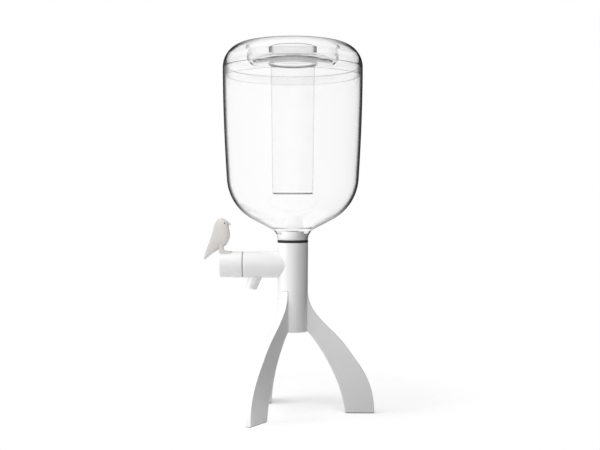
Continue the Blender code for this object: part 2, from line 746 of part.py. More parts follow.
def make_nozzle(tap):
    place = (-NOZZLE_PLACE, 0, 0)
    turn = aim(nozzle_direction())
    cone = turned(rounded([(0, NOZZLE_ROOT_REACH), (NOZZLE_ROOT_R, NOZZLE_ROOT_REACH),
                           (NOZZLE_OUTLET_R, NOZZLE_REACH, NOZZLE_ROUNDING), (0, NOZZLE_REACH)]),
                  MEDIUM_SEGMENTS)
    nozzle = solid("tap_nozzle", cone, WHITE, tap, place, turn)
    half = BARREL_R + NOZZLE_ROOT_R
    cope = rod(BARREL_R + GAP, NOZZLE_PLACE - half, NOZZLE_PLACE + half, MEDIUM_SEGMENTS)
    combine(nozzle, guide("nozzle_cope", outward(cope), tap), "DIFFERENCE")
    spigot = rod(SPIGOT_R, SPIGOT_START, SPIGOT_END, MEDIUM_SEGMENTS)
    combine(nozzle, guide("nozzle_spigot", spigot, tap, place, turn), "UNION")
    bore = rod(NOZZLE_BORE_R, SPIGOT_START - OVERRUN, NOZZLE_REACH + OVERRUN, SMALL_SEGMENTS)
    combine(nozzle, guide("nozzle_bore", bore, tap, place, turn), "DIFFERENCE")


def make_seam_ring(tap):
    bore = CORE_R + 2 * RUN_GAP
    ring = pipe(bore, BARREL_R - SEAM_RING_INSET, SEAM_START, SEAM_START + SEAM_RING, MEDIUM_SEGMENTS)
    solid("tap_seam_ring", outward(ring), BLACK, tap)


# Valve core and handle, which turn together
def make_valve_core(handle_axis):
    groove_r = CORE_R - RING_GROOVE_DEPTH
    half = RING_SECTION_R + GAP
    outline = [(0, CORE_START), (CORE_R, CORE_START)]
    for place in RING_PLACES.values():
        outline += [(CORE_R, place - half), (groove_r, place - half),
                    (groove_r, place + half), (CORE_R, place + half)]
    core_end = SEAM_START + SEAM_RING
    outline += [(CORE_R, core_end), (0, core_end)]
    core = solid("valve_core", outward(turned(outline, MEDIUM_SEGMENTS)), GREY, handle_axis)
    stem = block((-STEM_END, -STEM_HALF, -STEM_HALF), (OVERRUN - core_end, STEM_HALF, STEM_HALF))
    combine(core, guide("core_stem", stem, handle_axis), "UNION")
    inlet = rod(CORE_BORE_R, CORE_START - OVERRUN, NOZZLE_PLACE + CORE_BORE_R, SMALL_SEGMENTS)
    combine(core, guide("core_inlet", outward(inlet), handle_axis), "DIFFERENCE")
    port = rod(CORE_BORE_R, 0, CORE_R + OVERRUN, SMALL_SEGMENTS)
    closed = (-math.sin(NOZZLE_TILT), -math.cos(NOZZLE_TILT), 0)
    cut = guide("core_port", port, handle_axis, (-NOZZLE_PLACE, 0, 0), aim(closed))
    combine(core, cut, "DIFFERENCE")
    pilot = rod(STEM_PILOT_R, STEM_END - CLAMP_GRIP, STEM_END + OVERRUN, SMALL_SEGMENTS)
    combine(core, guide("stem_pilot", outward(pilot), handle_axis), "DIFFERENCE")
    for side, place in RING_PLACES.items():
        middle = groove_r + GAP + RING_SECTION_R
        section = arc((middle, place), RING_SECTION_R, 0, 2 * math.pi, RING_SECTION_SIDES)[:-1]
        ring = outward(turned(section, MEDIUM_SEGMENTS))
        solid("core_ring_" + side, ring, BLACK, handle_axis)


def make_handle(handle_axis):
    disc_seat = HANDLE_END - END_DISC - GAP
    screw_hole = CLAMP_SHANK_R + GAP
    outline = rounded([
        (screw_hole, HANDLE_START),
        (BARREL_R, HANDLE_START, BARREL_ROUNDING),
        (BARREL_R, HANDLE_STEP_PLACE),
        (HANDLE_END_R, HANDLE_STEP_PLACE),
        (HANDLE_END_R, HANDLE_END, HANDLE_ROUNDING),
        (END_DISC_R + GAP, HANDLE_END),
        (END_DISC_R + GAP, disc_seat),
        (HANDLE_RECESS_R, disc_seat),
        (HANDLE_RECESS_R, WEB_END),
        (screw_hole, WEB_END),
    ])
    handle = solid("tap_handle", outward(turned(outline, MEDIUM_SEGMENTS)), WHITE, handle_axis)
    half = STEM_HALF + GAP
    socket = block((-WEB_START, -half, -half), (OVERRUN - HANDLE_START, half, half))
    combine(handle, guide("stem_socket", socket, handle_axis), "DIFFERENCE")
    disc = pipe(0, END_DISC_R, HANDLE_END - END_DISC, HANDLE_END, MEDIUM_SEGMENTS)
    solid("handle_end_disc", outward(disc), WHITE, handle_axis)
    seat = WEB_END + GAP
    screw = rounded([
        (0, STEM_END - CLAMP_GRIP + GAP),
        (CLAMP_SHANK_R, STEM_END - CLAMP_GRIP + GAP),
        (CLAMP_SHANK_R, seat),
        (CLAMP_HEAD_R, seat),
        (CLAMP_HEAD_R, seat + CLAMP_HEAD, CLAMP_HEAD / 3),
        (0, seat + CLAMP_HEAD),
    ])
    solid("handle_screw", outward(turned(screw, SMALL_SEGMENTS)), STEEL, handle_axis)


# Bird
def bird_shape():
    """The bird's body as elliptical sections lofted from its tail to its beak."""
    bm = bmesh.new()
    rings = []
    for back, front, width_share in BIRD_SECTION_SHARES:
        back = Vector((back[0], 0, back[1])) * BIRD_SIZE
        front = Vector((front[0], 0, front[1])) * BIRD_SIZE
        centre = (back + front) / 2
        depth = (front - back) / 2
        width = Vector((0, depth.length * width_share, 0))
        angles = [2 * math.pi * k / BIRD_SIDES for k in range(BIRD_SIDES)]
        rings.append([bm.verts.new(centre + depth * math.cos(a) + width * math.sin(a)) for a in angles])
    for lower, upper in zip(rings, rings[1:]):
        for k in range(BIRD_SIDES):
            n = (k + 1) % BIRD_SIDES
            bm.faces.new([lower[k], lower[n], upper[n], upper[k]])
    bm.faces.new(rings[0])
    bm.faces.new(rings[-1])
    bmesh.ops.recalc_face_normals(bm, faces=bm.faces[:])
    return bm


def make_bird(handle_axis):
    perch = Vector((-BIRD_PLACE, 0, HANDLE_END_R))
    bird = solid("bird_body", bird_shape(), GREY, handle_axis, perch)
    toe = BIRD_PLACE - HANDLE_STEP_PLACE - GAP
    outline = [
        (-FOOT_HEEL, -FOOT_SINK),
        (toe, -FOOT_SINK),
        (toe, -FOOT_TOE_TIP),
        (toe - FOOT_TOP, FOOT_TOP / 2),
        (FOOT_SHIN + FOOT_TOP, FOOT_TOP),
        (FOOT_SHIN, 2 * FOOT_TOP),
        (FOOT_SHIN, FOOT_POST),
        (-FOOT_HEEL, FOOT_POST),
    ]
    handle_guide = rod(HANDLE_END_R + GAP, BIRD_PLACE - toe - GAP, HANDLE_END + OVERRUN, MEDIUM_SEGMENTS)
    cope = guide("foot_cope", outward(handle_guide), handle_axis)
    eye_x, eye_y, eye_z = (share * BIRD_SIZE for share in EYE_SHARES)
    for side, sign in (("front", -1), ("back", 1)):
        place = perch + Vector((0, sign * FOOT_STANCE, 0))
        foot = solid("bird_foot_" + side, slab(outline, FOOT_THICKNESS), GREY, handle_axis, place)
        round_edges(foot, FOOT_ROUNDING, 1)
        combine(foot, cope, "DIFFERENCE")
        half = FOOT_THICKNESS / 2 + GAP
        post = block((-FOOT_HEEL - GAP, -half, FOOT_TOP), (FOOT_SHIN + GAP, half, FOOT_POST + GAP))
        combine(bird, guide("foot_socket_" + side, post, handle_axis, place), "DIFFERENCE")
        spot = perch + Vector((eye_x, sign * eye_y, eye_z))
        dimple = bmesh.new()
        bmesh.ops.create_icosphere(dimple, subdivisions=2, radius=EYE_R + GAP)
        combine(bird, guide("eye_dimple_" + side, dimple, handle_axis, spot), "DIFFERENCE")
        bead = bmesh.new()
        bmesh.ops.create_icosphere(bead, subdivisions=2, radius=EYE_R)
        solid("bird_eye_" + side, bead, BLACK, handle_axis, spot)


def main():
    clear_scene()
    stand = empty("stand", (AXIS_X, 0, 0))
    lid_axis = empty("lid_axis", (0, 0, SEAM_Z), stand)
    tube_axis = empty("ice_tube_axis", (0, 0, FLANGE_Z - SEAM_Z), lid_axis)
    cap_axis = empty("cap_axis", (0, 0, TUBE_NECK), tube_axis)
    tap = empty("tap", (0, 0, TAP_Z), stand)
    handle_axis = empty("handle_axis", (0, 0, 0), tap)
    make_column(stand)
    make_base_plug(stand)
    make_legs(stand)
    make_tank(stand)
    make_lid(lid_axis)
    make_ice_tube(tube_axis)
    make_cap(cap_axis)
    make_tap_body(tap)
    make_tap_fixings(tap)
    make_nozzle(tap)
    make_seam_ring(tap)
    make_valve_core(handle_axis)
    make_handle(handle_axis)
    make_bird(handle_axis)
    bpy.context.view_layer.update()


main()
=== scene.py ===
"""Looks of a table-top water dispenser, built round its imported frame.

Every length is in metres, in the frame's own axes: +Z is up and the tap points along -X.
"""
from math import acos, cos, hypot, pi, radians, sin, tan

import bmesh
import bpy
from bpy.props import FloatProperty, FloatVectorProperty, IntProperty, PointerProperty
from mathutils import Matrix, Vector


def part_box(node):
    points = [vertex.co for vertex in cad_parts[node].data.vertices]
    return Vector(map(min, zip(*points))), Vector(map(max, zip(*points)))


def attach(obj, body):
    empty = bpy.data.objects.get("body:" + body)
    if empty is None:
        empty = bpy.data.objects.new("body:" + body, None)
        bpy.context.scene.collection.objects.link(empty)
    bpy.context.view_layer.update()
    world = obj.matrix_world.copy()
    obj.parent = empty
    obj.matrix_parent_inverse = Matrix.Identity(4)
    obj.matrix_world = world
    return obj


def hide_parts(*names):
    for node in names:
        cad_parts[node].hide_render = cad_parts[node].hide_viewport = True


bl_info = {
    "name": "Water Dispenser",
    "version": (1, 0, 0),
    "blender": (4, 5, 0),
    "location": "View3D > Sidebar > Dispenser",
    "description": "Builds the pieces, finishes and stage of a table-top water dispenser",
    "category": "Object",
}

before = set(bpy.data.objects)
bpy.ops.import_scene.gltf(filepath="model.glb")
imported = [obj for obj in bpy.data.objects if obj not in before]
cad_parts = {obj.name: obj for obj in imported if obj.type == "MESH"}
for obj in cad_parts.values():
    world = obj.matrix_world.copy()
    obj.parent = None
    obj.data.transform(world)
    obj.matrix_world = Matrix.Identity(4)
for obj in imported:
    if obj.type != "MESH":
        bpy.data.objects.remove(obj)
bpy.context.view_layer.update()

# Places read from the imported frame
COLUMN_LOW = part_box("column")[0]
TANK_LOW, TANK_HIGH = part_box("tank")
LID_LOW, LID_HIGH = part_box("lid")
TUBE_LOW, TUBE_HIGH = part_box("ice_tube")
CAP_LOW, CAP_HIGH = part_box("ice_tube_cap")
GASKET_LOW, GASKET_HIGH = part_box("neck_gasket")
BOLT_LOW, BOLT_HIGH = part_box("drain_bolt")
RING_LOW, RING_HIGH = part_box("tap_seam_ring")
HANDLE_LOW, HANDLE_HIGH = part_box("tap_handle")
DISC_LOW, DISC_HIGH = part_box("handle_end_disc")
LEG_LOW, LEG_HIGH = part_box("leg_right")
PLUG_LOW, PLUG_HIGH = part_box("column_base_plug")
SCREW_LOW, SCREW_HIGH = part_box("base_screw")
PAD_LOW, PAD_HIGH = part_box("foot_pad_right")

# A quarter turn
QUARTER = pi / 2

# Clearance between pieces that touch, and how far a cutter runs past what it cuts
GAP = 0.0003
LIFT_GAP = 0.0005
OVERRUN = 0.004

AXIS_X = (TANK_LOW.x + TANK_HIGH.x) / 2
TAP_Z = (HANDLE_LOW.z + HANDLE_HIGH.z) / 2
TANK_RIM_R = (TANK_HIGH.x - TANK_LOW.x) / 2
TANK_HEIGHT = TANK_HIGH.z - TANK_LOW.z
SHOULDER_Z = GASKET_LOW.z - GAP
LEG_THICKNESS = LEG_HIGH.y - LEG_LOW.y
LEG_REACH = LEG_HIGH.x - AXIS_X
LEG_HEADINGS = {"right": 0.0, "back": radians(120), "front": radians(240)}

# Facets of the middle-sized round pieces, and points closer than this become one
FACETS = 96
WELD = 1e-6

# Edges sharper than these are eased, or shaded as edges
EASED_ANGLE = radians(40)
SHADED_ANGLE = radians(38)

# Faces whose normal rises above these lie level
LEVEL = 0.9
CAP_LEVEL = 0.97

# Roundings of small edges: width and steps
HAIR = (0.0001, 2)
FINE = (0.0002, 2)
CRISP = (0.0003, 2)
DISC_EDGE = (0.0003, 3)
SMALL = (0.0004, 2)
MOUTH = (0.0005, 3)
EDGE = (0.0006, 3)
SMOOTH = (0.0006, 4)
ROUND = (0.0007, 4)
FULL = (0.0008, 3)
HANDLE_EDGE = (0.0009, 4)
WELL_BACK = (0.0015, 4)


# Sizes and colours that a user would change
def length(name, description, default):
    return FloatProperty(name=name, description=description, default=default, unit="LENGTH",
                         precision=4)


def angle(name, description, default):
    return FloatProperty(name=name, description=description, default=default, unit="ROTATION")


def colour(name, description, default):
    return FloatVectorProperty(name=name, description="Colour of " + description, default=default,
                               subtype="COLOR", min=0, max=1)


def power(name, description, default):
    return FloatProperty(name=name, description=f"Power of {description}, in watts", default=default)


class TankSizes(bpy.types.PropertyGroup):
    wall: length("Wall", "Thickness of the tank's wall", 0.0030)
    neck_r: length("Neck radius", "Radius of the tank's foot", 0.0204)
    shoulder_inset: length("Shoulder inset", "How much narrower the shoulder is than the rim", 0.0054)
    neck_fillet: length("Neck fillet", "Radius of the curve out of the neck", 0.0168)
    shoulder_fillet: length("Shoulder fillet", "Radius of the curve from the base into the side", 0.0664)
    slope: angle("Base slope", "Slope of the base between the two curves", radians(27.5))
    lean: angle("Side lean", "How far the side leans out where it begins", radians(4))
    floor_angle: angle("Floor angle", "Where the inside floor meets the neck", radians(56))
    wall_power: FloatProperty(name="Side curve", description="How soon the side turns upright",
                              default=1.8, min=1.0)
    lip_rounding: length("Lip rounding", "Rounding of the tank's rim", 0.0003)
    head_r: length("Bolt head radius", "Radius of the drain bolt's head", 0.0101)
    head: length("Bolt head height", "Height of the drain bolt's head", 0.0040)
    bolt_r: length("Bolt radius", "Radius of the drain bolt's shank", 0.0075)
    boss_r: length("Boss radius", "Radius of the column's boss that fills the tank's neck", 0.0150)
    roof: length("Neck roof", "Plastic between that boss and the bolt's head", 0.0008)
    bolt_bore_r: length("Drain radius", "Radius of the hole that drains the tank", 0.0050)


class LidSizes(bpy.types.PropertyGroup):
    rise: length("Rise", "Height of the lid above its seam", 0.0319)
    wall: length("Wall", "Thickness of the lid's wall", 0.0026)
    well_r: length("Well radius", "Radius of the sunk finger well", 0.0605)
    well_fillet: length("Well fillet", "Curve at the bottom of the well", 0.0050)
    rim_rounding: length("Rim rounding", "Curve at the top edge of the well", 0.0025)
    floor_drop: length("Floor drop", "Depth of the well", 0.0246)
    floor: length("Floor", "Thickness of the well's floor", 0.0022)
    hole_r: length("Hole radius", "Hole that the ice tube hangs in", 0.0310)
    collar: length("Collar", "Depth of the rib under the hole", 0.0012)
    collar_wall: length("Collar wall", "Thickness of the rib under the hole", 0.0024)
    chamfer: length("Chamfer", "Chamfer of the edges under the well", 0.0009)


class TubeSizes(bpy.types.PropertyGroup):
    top_r: length("Top radius", "Radius of the ice tube at its flange", 0.0296)
    foot_r: length("Foot radius", "Radius of the ice tube at its foot", 0.0273)
    wall: length("Wall", "Thickness of the ice tube's wall", 0.0022)
    floor: length("Floor", "Thickness of the ice tube's floor", 0.0042)
    foot_rounding: length("Foot rounding", "Rounding of the foot's edge", 0.0020)
    flange: length("Flange", "Thickness of the flange that rests on the lid", 0.0024)
    neck: length("Neck", "Height of the neck above the lid's floor", 0.0188)
    cap_wall: length("Cap wall", "Thickness of the cap's skirt", 0.0020)
    cap_top: length("Cap top", "Thickness of the cap's top", 0.0030)
    cap_rounding: length("Cap rounding", "Rounding of the cap's top edge", 0.0011)


class StandSizes(bpy.types.PropertyGroup):
    top_r: length("Column top radius", "Radius of the column under the gasket", 0.0208)
    foot_r: length("Column foot radius", "Radius of the column at its foot", 0.0198)
    wall: length("Column wall", "Thickness of the column's wall", 0.0024)
    deck: length("Deck", "Thickness of the column's deck under the gasket", 0.0035)
    top_rounding: length("Column edge", "Rounding of the column's top edge", 0.0006)
    root_height: length("Leg root height", "How far the legs reach up the column", 0.0554)
    root_r: length("Leg root radius", "How deep the legs reach into the column", 0.0120)
    root_notch: length("Leg root notch", "Height of the notch for the plug under a root", 0.0043)
    leg_rounding: length("Leg edge", "Rounding of the legs' edges", 0.00075)
    foot_length: length("Foot length", "Length of a leg where it stands", 0.0394)
    pad_drop: length("Pad drop", "How far the foot pads lift the legs", 0.0008)
    pad_recess: length("Pad recess", "How deep the foot pads sit in the legs", 0.0010)
    knee_out: length("Knee reach", "How far the knee stands off the column", 0.0540)
    knee_drop: length("Knee drop", "How far the knee lies below the leg's root", 0.0792)
    knee_slope: angle("Knee slope", "Slope of the leg at its knee", radians(55.2))
    screw_r: length("Screw radius", "Radius of the base screw's shank", 0.0014)
    screw_head: length("Screw head", "Height of the base screw's head", 0.0020)
    slot_half: length("Slot half length", "Half the length of the screw's cross slot", 0.0024)
    slot_width: length("Slot half width", "Half the width of the screw's cross slot", 0.00045)
    slot_depth: length("Slot depth", "Depth of the screw's cross slot", 0.0010)


class TapSizes(bpy.types.PropertyGroup):
    barrel_r: length("Barrel radius", "Radius of the tap's barrel", 0.0180)
    barrel_start: length("Barrel start", "Where the barrel begins, from the column's axis", 0.0095)
    barrel_length: length("Barrel length", "Reach of the barrel from the column's axis", 0.0668)
    barrel_bore_r: length("Barrel bore", "Radius of the barrel's bore", 0.0083)
    nozzle_place: length("Nozzle place", "Where the nozzle leaves the barrel", 0.0451)
    nozzle_tilt: angle("Nozzle tilt", "Slant of the nozzle, away from the column", radians(20))
    nozzle_reach: length("Nozzle reach", "Length of the nozzle from the barrel's axis", 0.0342)
    nozzle_outlet_r: length("Outlet radius", "Radius of the nozzle at its outlet", 0.0076)
    nozzle_root_r: length("Nozzle root radius", "Radius of the nozzle in the barrel", 0.0096)
    nozzle_root_reach: length("Nozzle root", "Where the nozzle's cone begins", 0.0100)
    nozzle_bore_r: length("Nozzle bore", "Radius of the nozzle's bore", 0.0050)
    handle_step: length("Handle step", "Length of the handle's full-width part", 0.0144)
    handle_end_r: length("Handle end radius", "Radius of the part the bird stands on", 0.0173)
    handle_bore_r: length("Handle bore", "Radius of the hole for the valve core", 0.0060)
    handle_hollow_r: length("Handle hollow", "Radius of the hollow behind the end disc", 0.0120)
    handle_web: length("Handle web", "How far that hollow stops from the handle's start", 0.0171)
    edge_rounding: length("Edge rounding", "Rounding of the barrel's and handle's edges", 0.0005)


class BirdSizes(bpy.types.PropertyGroup):
    size: length("Size", "Length that the bird's outline is measured in", 0.0566)
    place: length("Place", "Distance of its feet from the column's axis", 0.0966)
    stance: length("Stance", "Half the distance between its feet", 0.0065)
    foot_thickness: length("Foot thickness", "Width of a leg and its toes", 0.0036)
    claw: length("Claw", "Length of the dark tip of a foot", 0.0014)
    eye_r: length("Eye radius", "Radius of an eye", 0.0011)


class Finishes(bpy.types.PropertyGroup):
    white: colour("White plastic", "the column, legs and tap", (0.86, 0.852, 0.842))
    # Painted light: the boss is painted whiter than the column's own white, so that it looks brighter in the
    # tank's neck
    boss: colour("Boss", "the column's boss in the tank's neck", (0.97, 0.97, 0.97))
    bird: colour("Bird", "the bird", (0.69, 0.684, 0.674))
    # Darker tips of the bird's feet
    claw: colour("Tips", "the tips of the bird's feet", (0.10, 0.10, 0.10))
    eye: colour("Eyes", "the bird's eyes", (0.16, 0.16, 0.16))
    rubber: colour("Black rubber", "the gasket and rings", (0.020, 0.020, 0.020))
    seam: colour("Seam ring", "the ring between barrel and handle", (0.52, 0.52, 0.52))
    # Partly painted shade: the pads are near-black rubber, dark enough to give the contact shadow under each
    # foot
    pad: colour("Foot pad", "the pads under the legs", (0.06, 0.06, 0.06))
    grey: colour("Grey plastic", "the bolt, nuts and valve core", (0.60, 0.60, 0.60))
    steel: colour("Screw steel", "the screws", (0.60, 0.60, 0.62))
    clear_ior: FloatProperty(name="Clear plastic IOR", description="How much the clear plastic bends light",
                             default=1.49, min=1.0, max=2.0)


class StageSizes(bpy.types.PropertyGroup):
    camera_place: FloatVectorProperty(name="Camera place", description="Where the camera stands",
                                      default=(0.0369, -1.34759, 0.27534), unit="LENGTH", precision=4)
    camera_pitch: angle("Camera pitch", "How far the camera looks down", 0.0156)
    camera_turn: angle("Camera turn", "How far the camera turns to the left", 0.0161)
    camera_lens: FloatProperty(name="Focal length", description="Focal length on a 36 mm wide sensor",
                               default=59.81)
    floor_r: length("Floor radius", "Radius of the round floor", 6.0)
    key_power: power("Key power", "the soft box on the left", 9.5)
    top_power: power("Top power", "the soft box overhead", 9.0)
    front_power: power("Front power", "the soft box at the front", 8.0)
    bird_key_power: power("Bird key power", "the bird's soft box", 3.5)
    bird_fill_power: power("Bird fill power", "the bird's fill", 6.0)
    sky: FloatProperty(name="Sky", description="Strength of the even light from all round",
                       default=0.68)
    segments: IntProperty(name="Segments", description="Facets of a large round piece",
                          default=128, min=24)


# Mesh helpers
class Pen:
    """Draws a wire in the XZ plane, as radius and height, by extruding and spinning its last point."""

    def __init__(self, radius, height):
        self.bm = bmesh.new()
        self.last = self.bm.verts.new((radius, 0, height))
        self.first = self.last
        self.rounded = []

    def line(self, radius, height, rounding=0.0, steps=4):
        """Draw straight to a point, whose corner may be rounded once the wire is whole."""
        grown = bmesh.ops.extrude_vert_indiv(self.bm, verts=[self.last])
        self.last = grown["verts"][0]
        self.last.co = (radius, 0, height)
        if rounding:
            self.rounded.append((self.last, rounding, steps))
        return self

    def arc(self, centre, angle, steps):
        """Draw an arc about a centre; a positive angle turns from +X towards +Z."""
        middle = (centre[0], 0, centre[1])
        grown = bmesh.ops.spin(self.bm, geom=[self.last], cent=middle, axis=(0, 1, 0), angle=-angle,
                               steps=steps, use_merge=False, use_duplicate=False)
        self.last = [v for v in grown["geom_last"] if isinstance(v, bmesh.types.BMVert)][0]
        return self

    def close(self):
        """Join the last point to the first."""
        self.bm.edges.new((self.last, self.first))
        return self

    def turn(self, segments=None):
        """Round the marked corners and spin the wire about Z into a closed solid."""
        for corner, rounding, steps in self.rounded:
            bmesh.ops.bevel(self.bm, geom=[corner], offset=rounding, offset_type="OFFSET",
                            segments=steps, profile=0.5, affect="VERTICES", material=-1)
        segments = segments or bpy.context.scene.dispenser_stage.segments
        bmesh.ops.spin(self.bm, geom=self.bm.verts[:] + self.bm.edges[:], cent=(0, 0, 0),
                       axis=(0, 0, 1), angle=2 * pi, steps=segments, use_merge=True,
                       use_duplicate=False)
        bmesh.ops.remove_doubles(self.bm, verts=self.bm.verts[:], dist=WELD)
        bmesh.ops.recalc_face_normals(self.bm, faces=self.bm.faces[:])
        return self.bm


def placed(bm, x=0.0, y=0.0, z=0.0):
    """Move a mesh to its place."""
    bmesh.ops.translate(bm, verts=bm.verts[:], vec=(x, y, z))
    return bm


def turned(bm, angle, axis="Z"):
    """Turn a mesh about the origin."""
    bmesh.ops.rotate(bm, verts=bm.verts[:], cent=(0, 0, 0), matrix=Matrix.Rotation(angle, 3, axis))
    return bm


def outward(bm):
    """Lay a shape that was spun about Z along the tap, away from the column."""
    return turned(bm, -QUARTER, "Y")


def at_tap(bm):
    """Lay a shape that was spun about Z along the tap, in its place."""
    return placed(outward(bm), AXIS_X, 0, TAP_Z)


def rod(radius, low, high):
    """A plain cylinder about Z."""
    return Pen(0, low).line(radius, low).line(radius, high).line(0, high).turn(FACETS)


def block(low, high):
    """A box between two corners."""
    bm = bmesh.new()
    bmesh.ops.create_cube(bm, size=1)
    size = Vector(high) - Vector(low)
    bmesh.ops.scale(bm, verts=bm.verts[:], vec=size)
    return placed(bm, *((Vector(low) + Vector(high)) / 2))


def plate(outline, thickness):
    """A flat piece in the XZ plane, cut to an outline of (x, z) points."""
    bm = bmesh.new()
    face = bm.faces.new([bm.verts.new((x, -thickness / 2, z)) for x, z in outline])
    grown = bmesh.ops.extrude_face_region(bm, geom=[face])
    moved = [v for v in grown["geom"] if isinstance(v, bmesh.types.BMVert)]
    bmesh.ops.translate(bm, verts=moved, vec=(0, thickness, 0))
    bmesh.ops.recalc_face_normals(bm, faces=bm.faces[:])
    return bm


def as_object(bm, name):
    """An object that holds a mesh, which is freed."""
    mesh = bpy.data.meshes.new(name)
    bm.to_mesh(mesh)
    bm.free()
    item = bpy.data.objects.new(name, mesh)
    bpy.context.scene.collection.objects.link(item)
    return item


def cut(bm, tool_bm):
    """Cut one mesh out of another and return the result."""
    item = as_object(bm, "whole")
    tool = as_object(tool_bm, "tool")
    modifier = item.modifiers.new("cut", "BOOLEAN")
    modifier.operation = "DIFFERENCE"
    modifier.solver = "EXACT"
    modifier.object = tool
    graph = bpy.context.evaluated_depsgraph_get()
    result = bmesh.new()
    result.from_mesh(item.evaluated_get(graph).to_mesh())
    for used in (item, tool):
        mesh = used.data
        bpy.data.objects.remove(used)
        bpy.data.meshes.remove(mesh)
    return result


def eased(bm, width, steps):
    """Round every sharp edge of a mesh."""
    sharp = [e for e in bm.edges if len(e.link_faces) == 2 and e.calc_face_angle() > EASED_ANGLE]
    bmesh.ops.bevel(bm, geom=sharp, offset=width, offset_type="OFFSET", segments=steps, profile=0.5,
                    affect="EDGES", material=-1, clamp_overlap=True)
    return bm


def faces_axis(face):
    """Whether a face of a piece that was spun about Z looks towards its axis."""
    middle = face.calc_center_median()
    return middle.x * face.normal.x + middle.y * face.normal.y < 0


def zoned(bm, zone):
    """Give each face of a piece about Z the number of its finish, by its reach and height."""
    for face in bm.faces:
        middle = face.calc_center_median()
        face.material_index = zone(face, hypot(middle.x, middle.y), middle.z)
    return bm


def lit_group(name):
    """The collection of pieces that a lamp reaches."""
    return bpy.data.collections.get(name) or bpy.data.collections.new(name)


def light_up(item, group="stand pieces"):
    """Let the common lamps and one group's own lamps reach a piece."""
    for name in ("lit pieces", group):
        lit_group(name).objects.link(item)


def finish_piece(name, bm, node, slot="white_plastic", body="stand", looks=(), even=True):
    """Make a mesh a piece that rides on a body and stands for a CAD node."""
    item = as_object(bm, name)
    item.data.shade_smooth()
    item.data.set_sharp_from_angle(angle=SHADED_ANGLE)
    for look in looks or (slot,):
        item.data.materials.append(finish(look))
    if even:
        shading = item.modifiers.new("even shading", "WEIGHTED_NORMAL")
        shading.keep_sharp = True
    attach(item, body)
    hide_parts(node)
    if slot != "clear_plastic":
        light_up(item, "bird pieces" if name.startswith("bird") else "stand pieces")
    return item


# Finishes
class Shader:
    """Builds the node tree of a material or a world, where each node is fed as it is added."""

    def __init__(self, owner, output):
        owner.use_nodes = True
        self.owner = owner
        self.nodes, self.links = owner.node_tree.nodes, owner.node_tree.links
        self.nodes.clear()
        self.output = self.nodes.new(output)

    def add(self, kind, feeds=None, out=0, **settings):
        """Add a node, set it up, feed its inputs with values or outputs, and return an output."""
        node = self.nodes.new("ShaderNode" + kind)
        for key, value in settings.items():
            setattr(node, key, value)
        for key, value in (feeds or {}).items():
            if isinstance(value, bpy.types.NodeSocket):
                self.links.new(value, node.inputs[key])
            else:
                node.inputs[key].default_value = value
        return node.outputs[out]

    def math(self, operation, first, second=0.0, clamp=False):
        """Reckon with one or two values."""
        return self.add("Math", {0: first, 1: second}, operation=operation, use_clamp=clamp)

    def map(self, value, low, high, kind="LINEAR"):
        """Map a value from a range to 0 to 1."""
        return self.add("MapRange", {"Value": value, "From Min": low, "From Max": high},
                        interpolation_type=kind)

    def noise(self, scale, detail=2.0):
        """A noise pattern on Object coordinates."""
        return self.add("TexNoise", {"Scale": scale, "Detail": detail,
                                     "Vector": self.add("TexCoord", out="Object")})

    def ramp(self, source, stops):
        """A colour ramp over a value, from (position, grey or colour) stops."""
        shade = self.add("ValToRGB", {"Fac": source}).node
        elements = shade.color_ramp.elements
        while len(elements) < len(stops):
            elements.new(0.5)
        for element, (position, tint) in zip(elements, stops):
            element.position = position
            element.color = (*(tint if isinstance(tint, tuple) else (tint, tint, tint)), 1.0)
        return shade.outputs["Color"]

    def mixed(self, share, first, second):
        """Two colours mixed by a share."""
        return self.add("Mix", {"Factor": share, "A": first, "B": second}, "Result", data_type="RGBA")

    def blended(self, share, first, second):
        """Two shaders mixed by a share."""
        return self.add("MixShader", {0: share, 1: first, 2: second})

    def whitened_as_painted_light(self, tint, flatness, most):
        """A colour that turns white, up to the given part, as the surface lies flatter: painted light on
        level faces.
        """
        return self.mixed(self.math("MULTIPLY", flatness, most), tint, WHITE)

    def flatness(self, start, end):
        """How flat a surface lies, rising from 0 to 1 between two heights of its normal."""
        normal = self.add("SeparateXYZ", {0: self.add("TexCoord", out="Normal")}, "Z")
        return self.map(self.math("ABSOLUTE", normal), start, end, "SMOOTHSTEP")

    def facing(self):
        """How far a surface turns away from the eye."""
        return self.add("LayerWeight", {"Blend": 0.5}, "Facing")

    def show(self, surface):
        """Show a shader on the material's surface or the world's."""
        self.links.new(surface, self.output.inputs["Surface"])


# How strong the grain is, and how deep light goes into the soft-looking bird
GRAIN_STRENGTH = 0.25
SOFT_DEPTH = 0.020

# Clear plastic: its colour in the viewport, what it passes to the lamps, and its gloss
WHITE = (1.0, 1.0, 1.0, 1.0)
CLEAR_IN_VIEW = (0.95, 0.97, 0.98, 0.3)
LAMP_PASS = (0.97, 0.97, 0.97, 1.0)
HAZE, THIN_HAZE = 0.06, 0.04
THIN_GLOSS = (0.9, 0.9, 0.9, 1.0)
THIN_GLOSS_STOPS = ((0.0, 0.04), (0.6, 0.07), (0.85, 0.14), (1.0, 0.14))


